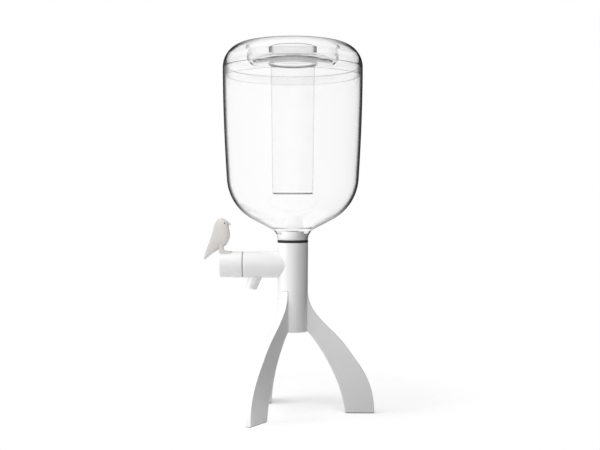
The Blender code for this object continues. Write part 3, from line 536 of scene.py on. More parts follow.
def moulded(tree, paint, spread=0.012, rough=(0.34, 0.42), grain=900.0, depth=0.00002, metallic=0.0,
            soft=0.0):
    """Moulded plastic, rubber or steel: a faintly uneven colour and gloss, and a fine grain."""
    tint = tuple(getattr(bpy.context.scene.dispenser_finishes, paint))
    low = tuple(c * (1 - spread) for c in tint)
    high = tuple(min(1.0, c * (1 + spread)) for c in tint)
    gloss = tree.add("MapRange", {"Value": tree.noise(120.0, 4.0), "To Min": rough[0], "To Max": rough[1]})
    bump = tree.add("Bump", {"Strength": GRAIN_STRENGTH, "Distance": depth, "Height": tree.noise(grain)})
    tree.owner.diffuse_color = (*tint, 1.0)
    return tree.add("BsdfPrincipled", {
        "Base Color": tree.ramp(tree.noise(38.0, 3.0), ((0.3, low), (0.7, high))),
        "Roughness": gloss, "Normal": bump, "Metallic": metallic, "Subsurface Weight": soft,
        "Subsurface Radius": WHITE[:3], "Subsurface Scale": SOFT_DEPTH})


def clear_plastic(tree, pass_shaded_at_edges, outer, inner, flat, bent=True):
    """Clear plastic that bends light, darkens towards its edges and lets the lamps through.

    The stops say how much light passes, and how much the outer and the inner faces mirror; where
    they fall towards the edges they are painted shade. Flat says between which heights of the normal
    each of these three turns white, and how far: painted light on level faces.
    """
    ior = bpy.context.scene.dispenser_finishes.clear_ior
    facing, flatness = tree.facing(), tree.flatness(*flat[:2])
    fresnel = tree.add("Fresnel", {"IOR": ior})
    # Painted shade and light: the passing light darkens towards the edges and turns white on level faces
    tint = tree.whitened_as_painted_light(tree.ramp(facing, pass_shaded_at_edges), flatness, flat[2])
    bend = tree.add("BsdfRefraction", {"IOR": ior if bent else 1.0, "Roughness": 0.0, "Color": tint})
    # Painted shade in the mirror colour too: it darkens towards the edges, outside and inside
    gloss = tree.mixed(tree.add("NewGeometry", out="Backfacing"),
                       tree.whitened_as_painted_light(tree.ramp(facing, outer), flatness, flat[3]),
                       tree.whitened_as_painted_light(tree.ramp(fresnel, inner), flatness, flat[4]))
    solid = tree.blended(fresnel, bend, tree.add("BsdfGlossy", {"Roughness": HAZE, "Color": gloss}))
    unseen = tree.math("MAXIMUM", tree.add("LightPath", out="Is Shadow Ray"),
                       tree.add("LightPath", out="Is Diffuse Ray"))
    tree.owner.diffuse_color = CLEAR_IN_VIEW
    return tree.blended(unseen, solid, tree.add("BsdfTransparent", {"Color": LAMP_PASS}))


def thin_plastic(tree, pass_shaded_at_edges, gloss, flat=(0.80, 0.98, 0.0)):
    """Thin clear plastic: see-through, with a faint gloss and edges darkened as painted shade; flat says how
    far level faces are painted white.
    """
    facing = tree.facing()
    # Painted shade at the edges, and painted light on level faces
    tint = tree.whitened_as_painted_light(tree.ramp(facing, pass_shaded_at_edges), tree.flatness(*flat[:2]), flat[2])
    front = tree.math("SUBTRACT", gloss, tree.add("NewGeometry", out="Backfacing"), clamp=True)
    amount = tree.math("MULTIPLY", tree.ramp(facing, THIN_GLOSS_STOPS), front)
    tree.owner.diffuse_color = CLEAR_IN_VIEW
    return tree.blended(amount, tree.add("BsdfTransparent", {"Color": tint}),
                        tree.add("BsdfGlossy", {"Roughness": THIN_HAZE, "Color": THIN_GLOSS}))


def seated_plastic(tree):
    """Clear plastic where it closes round another piece, with no gloss of its own."""
    cloud = tree.ramp(tree.noise(60.0), ((0.3, 0.985), (0.7, 1.0)))
    return tree.add("BsdfTransparent", {"Color": cloud})


# What a glossy surface sees from left to right: white, then dark
MIRRORED_STOPS = ((0.0, 1.0), (0.50, 1.0), (0.60, 0.80), (0.70, 0.35), (0.85, 0.12), (1.0, 0.08))

# How pale the floor is from left to right to the light that it throws back, and over what width
BOUNCE_STOPS = ((0.0, 0.95), (0.42, 0.80), (0.54, 0.45), (0.66, 0.20), (1.0, 0.10))
BOUNCE_REACH = 0.30

# Where the floor fades to white: the middle, and the distances from it
FADE_MIDDLE = (0.05, 0.13, 0.0)
FADE_FROM, FADE_TO = 0.13, 0.24

# Where the floor's mirror image is judged from, and how much the floor glows near the object
MIRROR_EYE = (0.0, 0.0, 0.30)
FLOOR_LIFT = 0.20


def pale_floor(tree):
    """A pale floor that fades to the white backdrop away from the object."""
    place = tree.add("TexCoord", out="Object")
    camera, glossy, through, diffuse = (tree.add("LightPath", out=f"Is {ray} Ray") for ray in (
        "Camera", "Glossy", "Transmission", "Diffuse"))
    reach = tree.add("VectorMath", {0: place, 1: FADE_MIDDLE}, "Value", operation="DISTANCE")
    fade = tree.map(reach, FADE_FROM, FADE_TO, "SMOOTHSTEP")
    across = tree.map(tree.add("SeparateXYZ", {0: place}, "X"), -BOUNCE_REACH, BOUNCE_REACH)
    paint = tree.ramp(tree.noise(90.0, 4.0), ((0.3, 0.955), (0.7, 0.975)))
    tone = tree.mixed(diffuse, paint, tree.ramp(across, BOUNCE_STOPS))
    matt = tree.add("BsdfDiffuse", {"Color": tone})
    lifted = tree.add("AddShader", {0: matt, 1: tree.add("Emission", {"Strength": FLOOR_LIFT})})
    sight = tree.add("VectorMath", {0: place, 1: MIRROR_EYE}, operation="SUBTRACT")
    aim = tree.add("VectorMath", {0: sight}, operation="NORMALIZE")
    aim_across = tree.map(tree.add("SeparateXYZ", {0: aim}, "X"), -1.0, 1.0)
    mirrored = tree.mixed(tree.math("SUBTRACT", glossy, through, clamp=True), WHITE,
                          tree.ramp(aim_across, MIRRORED_STOPS))
    seen = tree.math("MAXIMUM", tree.math("MAXIMUM", camera, through), glossy)
    near = tree.blended(seen, matt, lifted)
    return tree.blended(tree.math("MULTIPLY", fade, seen), near,
                        tree.add("Emission", {"Strength": 1.0, "Color": mirrored}))


# Painted shade and light of the clear plastics below: the stops darken their edges, and the flat values paint
# level faces white
TANK_INNER = ((0.0, 1.0), (0.15, 1.0), (0.45, 0.08))
TANK_FLAT = (0.50, 0.95, 0.65, 0.65, 0.65)
LID_INNER = ((0.0, 1.0), (0.10, 1.0), (0.35, 0.05))
LID_FLAT = (0.70, 0.92, 0.0, 0.0, 0.92)
CAP_FLAT = (0.985, 0.999, 1.0)
FINISHES = {
    "white_plastic": (moulded, {"paint": "white", "rough": (0.18, 0.22)}),
    # Painted light: a brighter copy of the column's white for its boss
    "boss_white": (moulded, {"paint": "boss", "rough": (0.30, 0.36)}),
    "bird_plastic": (moulded, {"paint": "bird", "spread": 0.02, "rough": (0.55, 0.65), "grain": 1400.0,
                               "depth": 0.00004, "soft": 0.3}),
    # The darker toe tips
    "claw_grey": (moulded, {"paint": "claw", "spread": 0.08, "rough": (0.40, 0.50)}),
    "eye_black": (moulded, {"paint": "eye", "spread": 0.05, "rough": (0.12, 0.16)}),
    "black_rubber": (moulded, {"paint": "rubber", "spread": 0.10, "rough": (0.55, 0.70),
                               "grain": 1500.0, "depth": 0.00005}),
    "seam_rubber": (moulded, {"paint": "seam", "spread": 0.08, "rough": (0.55, 0.70),
                              "grain": 1500.0, "depth": 0.00005}),
    # Pads: dark rubber that also stands in for the contact shadow under the feet
    "pad_rubber": (moulded, {"paint": "pad", "spread": 0.04, "rough": (0.70, 0.85), "grain": 1500.0,
                             "depth": 0.00006}),
    "grey_plastic": (moulded, {"paint": "grey", "spread": 0.03, "rough": (0.42, 0.55)}),
    "screw_steel": (moulded, {"paint": "steel", "spread": 0.06, "rough": (0.26, 0.40), "grain": 2600.0,
                              "metallic": 1.0}),
    # Clear plastics: their stops darken the edges as painted shade, and their flat values whiten level faces
    # as painted light
    "tank_clear": (clear_plastic, {
        "pass_shaded_at_edges": ((0.0, 0.998), (0.66, 0.995), (0.75, 0.97), (0.82, 0.86), (0.90, 0.66)),
        "outer": ((0.0, 1.0), (0.66, 1.0), (0.74, 0.50), (0.82, 0.12), (0.89, 0.05)),
        "inner": TANK_INNER, "flat": TANK_FLAT}),
    "tank_bore_clear": (clear_plastic, {
        "pass_shaded_at_edges": ((0.0, 1.0), (0.80, 0.99), (1.0, 0.80)),
        "outer": ((0.0, 1.0), (0.80, 0.97), (1.0, 0.70)),
        "inner": TANK_INNER, "flat": TANK_FLAT}),
    "throat_clear": (clear_plastic, {
        "pass_shaded_at_edges": ((0.0, 1.0), (0.60, 0.99), (0.80, 0.92), (0.92, 0.75), (1.0, 0.60)),
        "outer": ((0.0, 1.0), (0.66, 1.0), (0.85, 0.60), (1.0, 0.40)),
        "inner": ((0.0, 1.0), (0.15, 1.0), (0.45, 0.90)), "flat": (0.50, 0.90, 1.0, 1.0, 1.0),
        "bent": False}),
    "lid_clear": (clear_plastic, {
        "pass_shaded_at_edges": ((0.0, 0.99), (0.70, 0.985), (0.80, 0.90), (0.90, 0.55), (1.0, 0.30)),
        "outer": ((0.0, 1.0), (0.66, 1.0), (0.73, 0.18), (0.82, 0.06), (1.0, 0.05)),
        "inner": LID_INNER, "flat": LID_FLAT}),
    "lid_bore_clear": (clear_plastic, {
        "pass_shaded_at_edges": ((0.0, 1.0), (0.85, 0.99), (1.0, 0.85)),
        "outer": ((0.0, 1.0), (0.85, 0.98), (1.0, 0.85)),
        "inner": LID_INNER, "flat": LID_FLAT}),
    "skirt_clear": (clear_plastic, {
        "pass_shaded_at_edges": ((0.0, 0.995), (0.66, 0.99), (0.76, 0.95), (0.84, 0.80), (0.92, 0.50)),
        "outer": ((0.0, 1.0), (0.68, 1.0), (0.76, 0.70), (0.84, 0.20), (1.0, 0.10)),
        "inner": ((0.0, 1.0), (0.10, 1.0), (0.35, 0.06)), "flat": (0.30, 0.70, 1.0, 1.0, 1.0)}),
    "well_clear": (clear_plastic, {
        "pass_shaded_at_edges": ((0.0, 1.0), (0.88, 1.0), (0.95, 0.85), (1.0, 0.60)),
        "outer": ((0.0, 1.0), (0.85, 1.0), (0.95, 0.80), (1.0, 0.60)),
        "inner": ((0.0, 1.0), (0.25, 1.0), (0.9, 0.76)), "flat": (0.60, 0.95, 1.0, 1.0, 1.0)}),
    # Near-black painted lines: the strip under the well's corner and the collar's edge
    "well_edge_clear": (thin_plastic, {
        "pass_shaded_at_edges": ((0.0, 0.90), (0.50, 0.75), (0.56, 0.20), (0.70, 0.10), (0.78, 1.0)), "gloss": 0.2}),
    "collar_edge_clear": (thin_plastic, {
        "pass_shaded_at_edges": ((0.0, 0.12), (0.38, 0.15), (0.52, 0.60), (0.66, 1.0)), "gloss": 0.2}),
    "cap_clear": (thin_plastic, {
        "pass_shaded_at_edges": ((0.0, 0.99), (0.52, 0.97), (0.64, 0.75), (0.74, 0.35), (1.0, 0.06)), "gloss": 0.5,
        "flat": CAP_FLAT}),
    # A near-black painted line on the cap's rounded top edge
    "cap_edge_clear": (thin_plastic, {
        "pass_shaded_at_edges": ((0.0, 0.12), (1.0, 0.06)), "gloss": 0.2, "flat": CAP_FLAT}),
    "tube_clear": (thin_plastic, {
        "pass_shaded_at_edges": ((0.0, 0.997), (0.60, 0.99), (0.80, 0.93), (0.92, 0.70), (1.0, 0.45)), "gloss": 0.7,
        "flat": (0.70, 0.95, 1.0)}),
    # A darker painted line along the tube's rounded foot
    "tube_foot_clear": (thin_plastic, {
        "pass_shaded_at_edges": ((0.0, 0.62), (0.50, 0.52), (0.85, 0.30), (1.0, 0.15)), "gloss": 0.4}),
    "seated_clear": (seated_plastic, {}),
    "pale_floor": (pale_floor, {}),
}


def finish(name):
    """The material of a name, built when it is first asked for."""
    found = bpy.data.materials.get(name)
    if found:
        return found
    made = bpy.data.materials.new(name)
    build, values = FINISHES[name]
    tree = Shader(made, "ShaderNodeOutputMaterial")
    tree.show(build(tree, **values))
    return made


# Column and legs
def column_r(z):
    """The column's outer radius at a height."""
    sizes = bpy.context.scene.dispenser_stand
    share = (z - COLUMN_LOW.z) / (SHOULDER_Z - COLUMN_LOW.z)
    return sizes.foot_r + (sizes.top_r - sizes.foot_r) * share


def floor_height(sizes):
    """How high the tank's inside floor lies above its foot."""
    return (sizes.neck_fillet + sizes.wall) * sin(sizes.floor_angle)


class DISPENSER_OT_column(bpy.types.Operator):
    """Build the tapered column with its slots for the legs"""
    bl_idname = "dispenser.column"
    bl_label = "Column"

    def execute(self, context):
        sizes = context.scene.dispenser_stand
        neck = context.scene.dispenser_tank
        low, deck = COLUMN_LOW.z, SHOULDER_Z - sizes.deck
        hole = neck.bolt_r + GAP
        high = TANK_LOW.z + floor_height(neck) - neck.head - neck.roof - GAP
        pen = Pen(hole, high).line(neck.boss_r, high, sizes.top_rounding, 3)
        pen.line(neck.boss_r, SHOULDER_Z).line(sizes.top_r, SHOULDER_Z, sizes.top_rounding, 3)
        pen.line(sizes.foot_r, low, *SMALL).line(column_r(low) - sizes.wall, low)
        pen.line(sizes.top_r - sizes.wall, deck).line(hole, deck)
        column = pen.close().turn()
        half = LEG_THICKNESS / 2 + GAP
        root = low + sizes.root_height + GAP
        for heading in LEG_HEADINGS.values():
            slot = block((sizes.root_r, -half, low - OVERRUN), (sizes.top_r + OVERRUN, half, root))
            column = cut(column, turned(slot, heading))
        # The boss's faces take the whiter, painted-light finish
        zoned(column, lambda face, reach, height: int(height > SHOULDER_Z + GAP))
        finish_piece("column_shell", placed(column, AXIS_X), "column",
                     looks=("white_plastic", "boss_white"))
        return {"FINISHED"}


# Shares of a leg: its curve's reins by the root's height, the pull of its inner edge, and the
# steps of its three curves
LEG_REIN_SHARES = (0.208, 0.222, 0.187, 0.263)
INNER_PULL_SHARES = ((0.945, -0.66), (0.40, -0.195))
LEG_STEPS = (24, 28, 36)


def curve_points(start, first, second, end, steps):
    """Points along a cubic curve, after its start."""
    points = []
    for step in range(1, steps + 1):
        t = step / steps
        points.append((1 - t) ** 3 * start + 3 * t * (1 - t) ** 2 * first
                      + 3 * t * t * (1 - t) * second + t ** 3 * end)
    return points


def leg_outline(sizes):
    """One leg seen from its side, as (radius, height) points."""
    low = COLUMN_LOW.z
    root_z, notch_z = low + sizes.root_height, low + sizes.root_notch
    knee = Vector((sizes.top_r + sizes.knee_out, root_z - sizes.knee_drop))
    run = Vector((cos(sizes.knee_slope), -sin(sizes.knee_slope)))
    drop, before, after, rise = (share * root_z for share in LEG_REIN_SHARES)
    start = Vector((column_r(root_z), root_z))
    end = Vector((LEG_REACH, sizes.pad_drop))
    heel = Vector((LEG_REACH - sizes.foot_length, sizes.pad_drop))
    crotch = Vector((column_r(low), low))
    pulls = [crotch + Vector((across * (heel.x - crotch.x), fall * (crotch.y - heel.y)))
             for across, fall in INNER_PULL_SHARES]
    slot_r = column_r(low) - sizes.wall
    points = [start]
    points += curve_points(start, start - Vector((0, drop)), knee - run * before, knee, LEG_STEPS[0])
    points += curve_points(knee, knee + run * after, Vector((LEG_REACH, rise)), end, LEG_STEPS[1])
    points += [heel] + curve_points(heel, *pulls, crotch, LEG_STEPS[2])
    points += [(slot_r, low), (slot_r, notch_z), (sizes.root_r, notch_z), (sizes.root_r, root_z)]
    return points


class DISPENSER_OT_legs(bpy.types.Operator):
    """Build the three flat curved legs and their foot pads"""
    bl_idname = "dispenser.legs"
    bl_label = "Legs"

    def execute(self, context):
        sizes = context.scene.dispenser_stand
        middle_r = LEG_REACH - sizes.foot_length / 2
        half_long = (PAD_HIGH.x - PAD_LOW.x) / 2
        half_wide = (PAD_HIGH.y - PAD_LOW.y) / 2
        for side, heading in LEG_HEADINGS.items():
            leg = eased(plate(leg_outline(sizes), LEG_THICKNESS), sizes.leg_rounding, 3)
            recess = block((middle_r - half_long - GAP, -half_wide - GAP, -OVERRUN),
                           (middle_r + half_long + GAP, half_wide + GAP, sizes.pad_drop + sizes.pad_recess))
            leg = turned(cut(leg, recess), heading)
            finish_piece("leg_shell_" + side, placed(leg, AXIS_X), "leg_" + side)
            # A near-black pad that also paints the contact shadow under the foot
            pad = block((middle_r - half_long, -half_wide, 0), (middle_r + half_long, half_wide, PAD_HIGH.z))
            pad = turned(eased(pad, *CRISP), heading)
            finish_piece("foot_pad_soft_" + side, placed(pad, AXIS_X), "foot_pad_" + side, "pad_rubber")
        return {"FINISHED"}


class DISPENSER_OT_base_plug(bpy.types.Operator):
    """Build the plug and the screw under the column"""
    bl_idname = "dispenser.base_plug"
    bl_label = "Base plug"

    def execute(self, context):
        sizes = context.scene.dispenser_stand
        low, high = PLUG_LOW.z, PLUG_HIGH.z
        edge_r = (PLUG_HIGH.y - PLUG_LOW.y) / 2
        head_r = (SCREW_HIGH.y - SCREW_LOW.y) / 2
        seat = SCREW_LOW.z + sizes.screw_head
        pen = Pen(head_r + GAP, low).line(edge_r, low, *EDGE).line(edge_r, high)
        pen.line(sizes.screw_r + GAP, high).line(sizes.screw_r + GAP, seat + GAP)
        plug = pen.line(head_r + GAP, seat + GAP).close().turn(FACETS)
        finish_piece("base_plug", placed(plug, AXIS_X), "column_base_plug")
        pen = Pen(0, SCREW_LOW.z).line(head_r, SCREW_LOW.z, *EDGE).line(head_r, seat)
        pen.line(sizes.screw_r, seat).line(sizes.screw_r, SCREW_HIGH.z)
        screw = pen.line(0, SCREW_HIGH.z).turn(FACETS // 2)
        half, width = sizes.slot_half, sizes.slot_width
        for heading in (0, QUARTER):
            bar = block((-half, -width, SCREW_LOW.z - OVERRUN), (half, width, SCREW_LOW.z + sizes.slot_depth))
            screw = cut(screw, turned(bar, heading))
        finish_piece("base_screw_fine", placed(screw, AXIS_X), "base_screw", "screw_steel")
        return {"FINISHED"}


# Tank, gasket and drain, with the steps of the tank's curves
NECK_STEPS, SHOULDER_STEPS, FLOOR_STEPS, SIDE_STEPS = 18, 34, 12, 20


def draw_tank_side(pen, sizes, inset, down):
    """Draw the tank's side between its neck and its rim, set in from the outer face."""
    slope, lean, fillet = sizes.slope, sizes.lean, sizes.shoulder_fillet
    neck = (sizes.neck_r + sizes.neck_fillet, 0)
    slope_r = neck[0] - sizes.neck_fillet * sin(slope)
    slope_z = sizes.neck_fillet * cos(slope)
    centre_r = TANK_RIM_R - sizes.shoulder_inset - fillet * cos(lean)
    end_r = centre_r + fillet * sin(slope)
    end_z = slope_z + (end_r - slope_r) * tan(slope)
    centre = (centre_r, end_z + fillet * cos(slope))
    wall_z = centre[1] - fillet * sin(lean)
    radius = fillet - inset
    shoulder_angle = QUARTER - slope - lean
    walls = []
    for step in range(1, SIDE_STEPS + 1):
        t = step / SIDE_STEPS
        walls.append((TANK_RIM_R - sizes.shoulder_inset * (1 - t) ** sizes.wall_power - inset,
                      wall_z + (TANK_HEIGHT - wall_z) * t))
    if not down:
        pen.arc(neck, -(QUARTER - slope), NECK_STEPS)
        pen.line(centre[0] + radius * sin(slope), centre[1] - radius * cos(slope))
        pen.arc(centre, shoulder_angle, SHOULDER_STEPS)
        for point in walls:
            pen.line(*point)
        return
    for point in reversed(walls[:-1]):
        pen.line(*point)
    pen.line(centre[0] + radius * cos(lean), wall_z)
    pen.arc(centre, -shoulder_angle, SHOULDER_STEPS)
    reach = sizes.neck_fillet + inset
    pen.line(neck[0] + reach * cos(QUARTER + slope), reach * sin(QUARTER + slope))
    pen.arc(neck, pi - sizes.floor_angle - (QUARTER + slope), FLOOR_STEPS)


class DISPENSER_OT_tank(bpy.types.Operator):
    """Build the clear tank, the gasket under it and the bolt in its throat"""
    bl_idname = "dispenser.tank"
    bl_label = "Tank"

    def execute(self, context):
        sizes = context.scene.dispenser_tank
        floor_z = floor_height(sizes)
        seat_z = floor_z - sizes.head
        roof_z = seat_z - sizes.roof
        hole = sizes.bolt_r + GAP
        pocket = sizes.head_r + GAP
        socket = sizes.boss_r + GAP
        pen = Pen(socket, 0).line(sizes.neck_r, 0)
        draw_tank_side(pen, sizes, 0.0, down=False)
        pen.rounded.append((pen.last, sizes.lip_rounding, 4))
        pen.line(TANK_RIM_R - sizes.wall, TANK_HEIGHT, sizes.lip_rounding, 4)
        draw_tank_side(pen, sizes, sizes.wall, down=True)
        pen.line(pocket, floor_z, *SMALL).line(pocket, seat_z).line(hole, seat_z)
        pen.line(hole, roof_z).line(socket, roof_z)
        looks = ("tank_clear", "seated_clear", "throat_clear", "tank_bore_clear", "skirt_clear")

        def zone(face, reach, height):
            if reach < socket + GAP and height < floor_z - GAP:
                return 1
            if reach < sizes.neck_r + sizes.neck_fillet / 3 and height > floor_z / 2:
                return 1 if faces_axis(face) or abs(face.normal.z) > LEVEL else 2
            if height > TANK_HEIGHT - sizes.lip_rounding:
                return 4
            return 3 if faces_axis(face) else 0

        tank = zoned(pen.close().turn(), zone)
        finish_piece("tank_shell", placed(tank, AXIS_X, 0, TANK_LOW.z), "tank", "clear_plastic",
                     looks=looks)

        low, high = GASKET_LOW.z, GASKET_HIGH.z
        gasket_r = (GASKET_HIGH.x - GASKET_LOW.x) / 2
        pen = Pen(socket, low).line(gasket_r, low, *ROUND).line(gasket_r, high, *ROUND)
        gasket = pen.line(socket, high).close().turn()
        finish_piece("gasket_ring", placed(gasket, AXIS_X), "neck_gasket", "black_rubber")

        low, high = BOLT_LOW.z, BOLT_HIGH.z
        seat = high - sizes.head
        pen = Pen(sizes.bolt_bore_r, low).line(sizes.bolt_r, low, *FULL).line(sizes.bolt_r, seat)
        pen.line(sizes.head_r, seat).line(sizes.head_r, high, *SMOOTH)
        bolt = pen.line(sizes.bolt_bore_r, high, *SMOOTH).close().turn(FACETS)
        finish_piece("drain_bolt_fine", placed(bolt, AXIS_X), "drain_bolt", "grey_plastic")
        return {"FINISHED"}


# Lid, ice tube and cap: steps of the lid's curve and of the tube's side, and the width and the
# height of the strip under the well's corner, as shares of the chamfer; the strip carries a painted dark line
LID_STEPS = 28
TUBE_STEPS = 16
STRIP_SHARES = (3.3, 1.2)


class DISPENSER_OT_lid(bpy.types.Operator):
    """Build the clear domed lid with its sunk well"""
    bl_idname = "dispenser.lid"
    bl_label = "Lid"

    def execute(self, context):
        sizes = context.scene.dispenser_lid
        crown_r = sizes.well_r + sizes.rim_rounding
        half_r = TANK_RIM_R - crown_r
        inner_half_r = half_r - sizes.wall
        inner_rise = sizes.rise - sizes.wall
        skirt_r = TANK_RIM_R - context.scene.dispenser_tank.wall - LIFT_GAP
        bore_r = skirt_r - sizes.wall
        skirt_z = LID_LOW.z - (LID_HIGH.z - sizes.rise)
        floor_top = sizes.rise - sizes.floor_drop
        floor_bottom = floor_top - sizes.floor
        collar_z = floor_bottom - sizes.collar
        collar_r = sizes.hole_r + sizes.collar_wall
        back_r = sizes.well_r + sizes.wall
        edge_r = sizes.well_r - sizes.well_fillet - sizes.chamfer
        strip_r = edge_r + sizes.chamfer * STRIP_SHARES[0]
        strip_z = floor_bottom + sizes.chamfer * STRIP_SHARES[1]
        pen = Pen(skirt_r, 0).line(TANK_RIM_R, 0, *HAIR)
        for step in range(1, LID_STEPS + 1):
            angle = QUARTER * step / LID_STEPS
            pen.line(crown_r + half_r * cos(angle), sizes.rise * sin(angle))
        pen.line(sizes.well_r, sizes.rise, sizes.rim_rounding, 8)
        pen.line(sizes.well_r, floor_top, sizes.well_fillet, 8)
        pen.line(sizes.hole_r, floor_top, *HAIR).line(sizes.hole_r, collar_z + sizes.chamfer)
        pen.line(sizes.hole_r + sizes.chamfer, collar_z)
        pen.line(collar_r, collar_z, *FINE).line(collar_r, floor_bottom, *FINE)
        pen.line(edge_r, floor_bottom).line(strip_r, strip_z)
        pen.line(back_r, floor_bottom + sizes.well_fillet, sizes.well_fillet, 8)
        pen.line(back_r, inner_rise, *WELL_BACK)
        start = acos((bore_r - crown_r) / inner_half_r)
        for step in range(LID_STEPS - 1, -1, -1):
            angle = start + (QUARTER - start) * step / LID_STEPS
            pen.line(crown_r + inner_half_r * cos(angle), inner_rise * sin(angle))
        pen.line(bore_r, skirt_z, *FINE).line(skirt_r, skirt_z, *FINE)
        looks = ("lid_clear", "well_clear", "well_edge_clear", "skirt_clear", "collar_edge_clear",
                 "lid_bore_clear")

        def zone(face, reach, height):
            # The strip under the well's corner and the collar's chamfer carry painted dark lines
            if edge_r < reach < strip_r and height < strip_z:
                return 2
            if reach < sizes.hole_r + sizes.chamfer and collar_z < height < collar_z + sizes.chamfer:
                return 4
            if height < GAP and reach > back_r:
                return 3
            if reach > back_r + GAP and (faces_axis(face) or face.normal.z < 0):
                return 5
            return int(reach < back_r + GAP)

        lid = zoned(pen.close().turn(), zone)
        finish_piece("lid_shell", placed(lid, AXIS_X, 0, LID_HIGH.z - sizes.rise), "lid", "clear_plastic",
                     "lid", looks)
        return {"FINISHED"}


class DISPENSER_OT_ice_tube(bpy.types.Operator):
    """Build the clear ice tube and its cap"""
    bl_idname = "dispenser.ice_tube"
    bl_label = "Ice tube"

    def execute(self, context):
        sizes = context.scene.dispenser_tube
        flange_r = (TUBE_HIGH.x - TUBE_LOW.x) / 2
        top, foot = TUBE_HIGH.z, TUBE_LOW.z
        seat, floor = top - sizes.neck, foot + sizes.floor
        flange_z = seat + sizes.flange
        bore_top, bore_foot = sizes.top_r - sizes.wall, sizes.foot_r - sizes.wall
        pen = Pen(0, foot).line(sizes.foot_r, foot, sizes.foot_rounding, 6)
        for step in range(1, TUBE_STEPS):
            t = step / TUBE_STEPS
            pen.line(sizes.foot_r + (sizes.top_r - sizes.foot_r) * t, foot + (seat - foot) * t)
        pen.line(sizes.top_r, seat).line(flange_r, seat, *EDGE)
        pen.line(flange_r, flange_z, *FULL).line(sizes.top_r, flange_z, *SMALL)
        pen.line(sizes.top_r, top, *ROUND).line(bore_top, top, *ROUND)
        for step in range(TUBE_STEPS - 1, 0, -1):
            t = step / TUBE_STEPS
            pen.line(bore_foot + (bore_top - bore_foot) * t, floor + (top - floor) * t)
        pen.line(bore_foot, floor, sizes.foot_rounding, 6)

        # The tube's rounded foot carries a darker painted line
        def zone(face, reach, height):
            if (faces_axis(face) and height < seat) or height > top - GAP:
                return 2
            return int(height < foot + sizes.foot_rounding)

        tube = zoned(pen.line(0, floor).turn(), zone)
        finish_piece("ice_tube_shell", placed(tube, AXIS_X), "ice_tube", "clear_plastic", "ice_tube",
                     ("tube_clear", "tube_foot_clear", "seated_clear"))

        bore = sizes.top_r + LIFT_GAP
        radius = bore + sizes.cap_wall
        under = CAP_HIGH.z - sizes.cap_top
        edge = CAP_HIGH.z - sizes.cap_rounding
        pen = Pen(0, under).line(bore, under)
        pen.line(bore, CAP_LOW.z, *FULL).line(radius, CAP_LOW.z, *FULL)
        cap = pen.line(radius, CAP_HIGH.z, sizes.cap_rounding, 6).line(0, CAP_HIGH.z).turn()
        # The cap's rounded top edge carries a near-black painted line
        zoned(cap, lambda face, reach, height: int(height > edge and face.normal.z < CAP_LEVEL))
        finish_piece("ice_tube_cap_shell", placed(cap, AXIS_X), "ice_tube_cap", "clear_plastic",
                     "ice_tube_cap", ("cap_clear", "cap_edge_clear"))
        return {"FINISHED"}


# Tap
class DISPENSER_OT_tap(bpy.types.Operator):
    """Build the tap's barrel, its nozzle and the seam ring"""
    bl_idname = "dispenser.tap"
    bl_label = "Tap"

    def execute(self, context):
        sizes = context.scene.dispenser_tap
        start, end = sizes.barrel_start, sizes.barrel_length
        pen = Pen(sizes.barrel_bore_r, start).line(sizes.barrel_r, start)
        pen.line(sizes.barrel_r, end, sizes.edge_rounding, 3)
        barrel = outward(pen.line(sizes.barrel_bore_r, end).close().turn(FACETS))
        low_r, high_r = column_r(COLUMN_LOW.z) + GAP, column_r(SHOULDER_Z) + GAP
        pen = Pen(0, COLUMN_LOW.z).line(low_r, COLUMN_LOW.z).line(high_r, SHOULDER_Z)
        barrel = cut(placed(barrel, 0, 0, TAP_Z), pen.line(0, SHOULDER_Z).turn())
        finish_piece("tap_barrel", placed(barrel, AXIS_X), "tap_body")

        reach = sizes.nozzle_reach
        pen = Pen(sizes.nozzle_bore_r, sizes.nozzle_root_reach)
        pen.line(sizes.nozzle_root_r, sizes.nozzle_root_reach)
        pen.line(sizes.nozzle_outlet_r, reach, *SMOOTH).line(sizes.nozzle_bore_r, reach, *MOUTH)
        nozzle = turned(pen.close().turn(FACETS), pi + sizes.nozzle_tilt, "Y")
        half = sizes.barrel_r + sizes.nozzle_root_r
        cope = rod(sizes.barrel_r + GAP, sizes.nozzle_place - half, sizes.nozzle_place + half)
        nozzle = cut(placed(nozzle, -sizes.nozzle_place), outward(cope))
        finish_piece("tap_nozzle_fine", placed(nozzle, AXIS_X, 0, TAP_Z), "tap_nozzle")

        bore_r, ring_r = sizes.barrel_bore_r + GAP, (RING_HIGH.y - RING_LOW.y) / 2
        low, high = AXIS_X - RING_HIGH.x, AXIS_X - RING_LOW.x
        ring = Pen(bore_r, low).line(ring_r, low).line(ring_r, high).line(bore_r, high).close()
        finish_piece("seam_ring", at_tap(ring.turn(FACETS)), "tap_seam_ring", "black_rubber",
                     looks=("seam_rubber",))
        return {"FINISHED"}


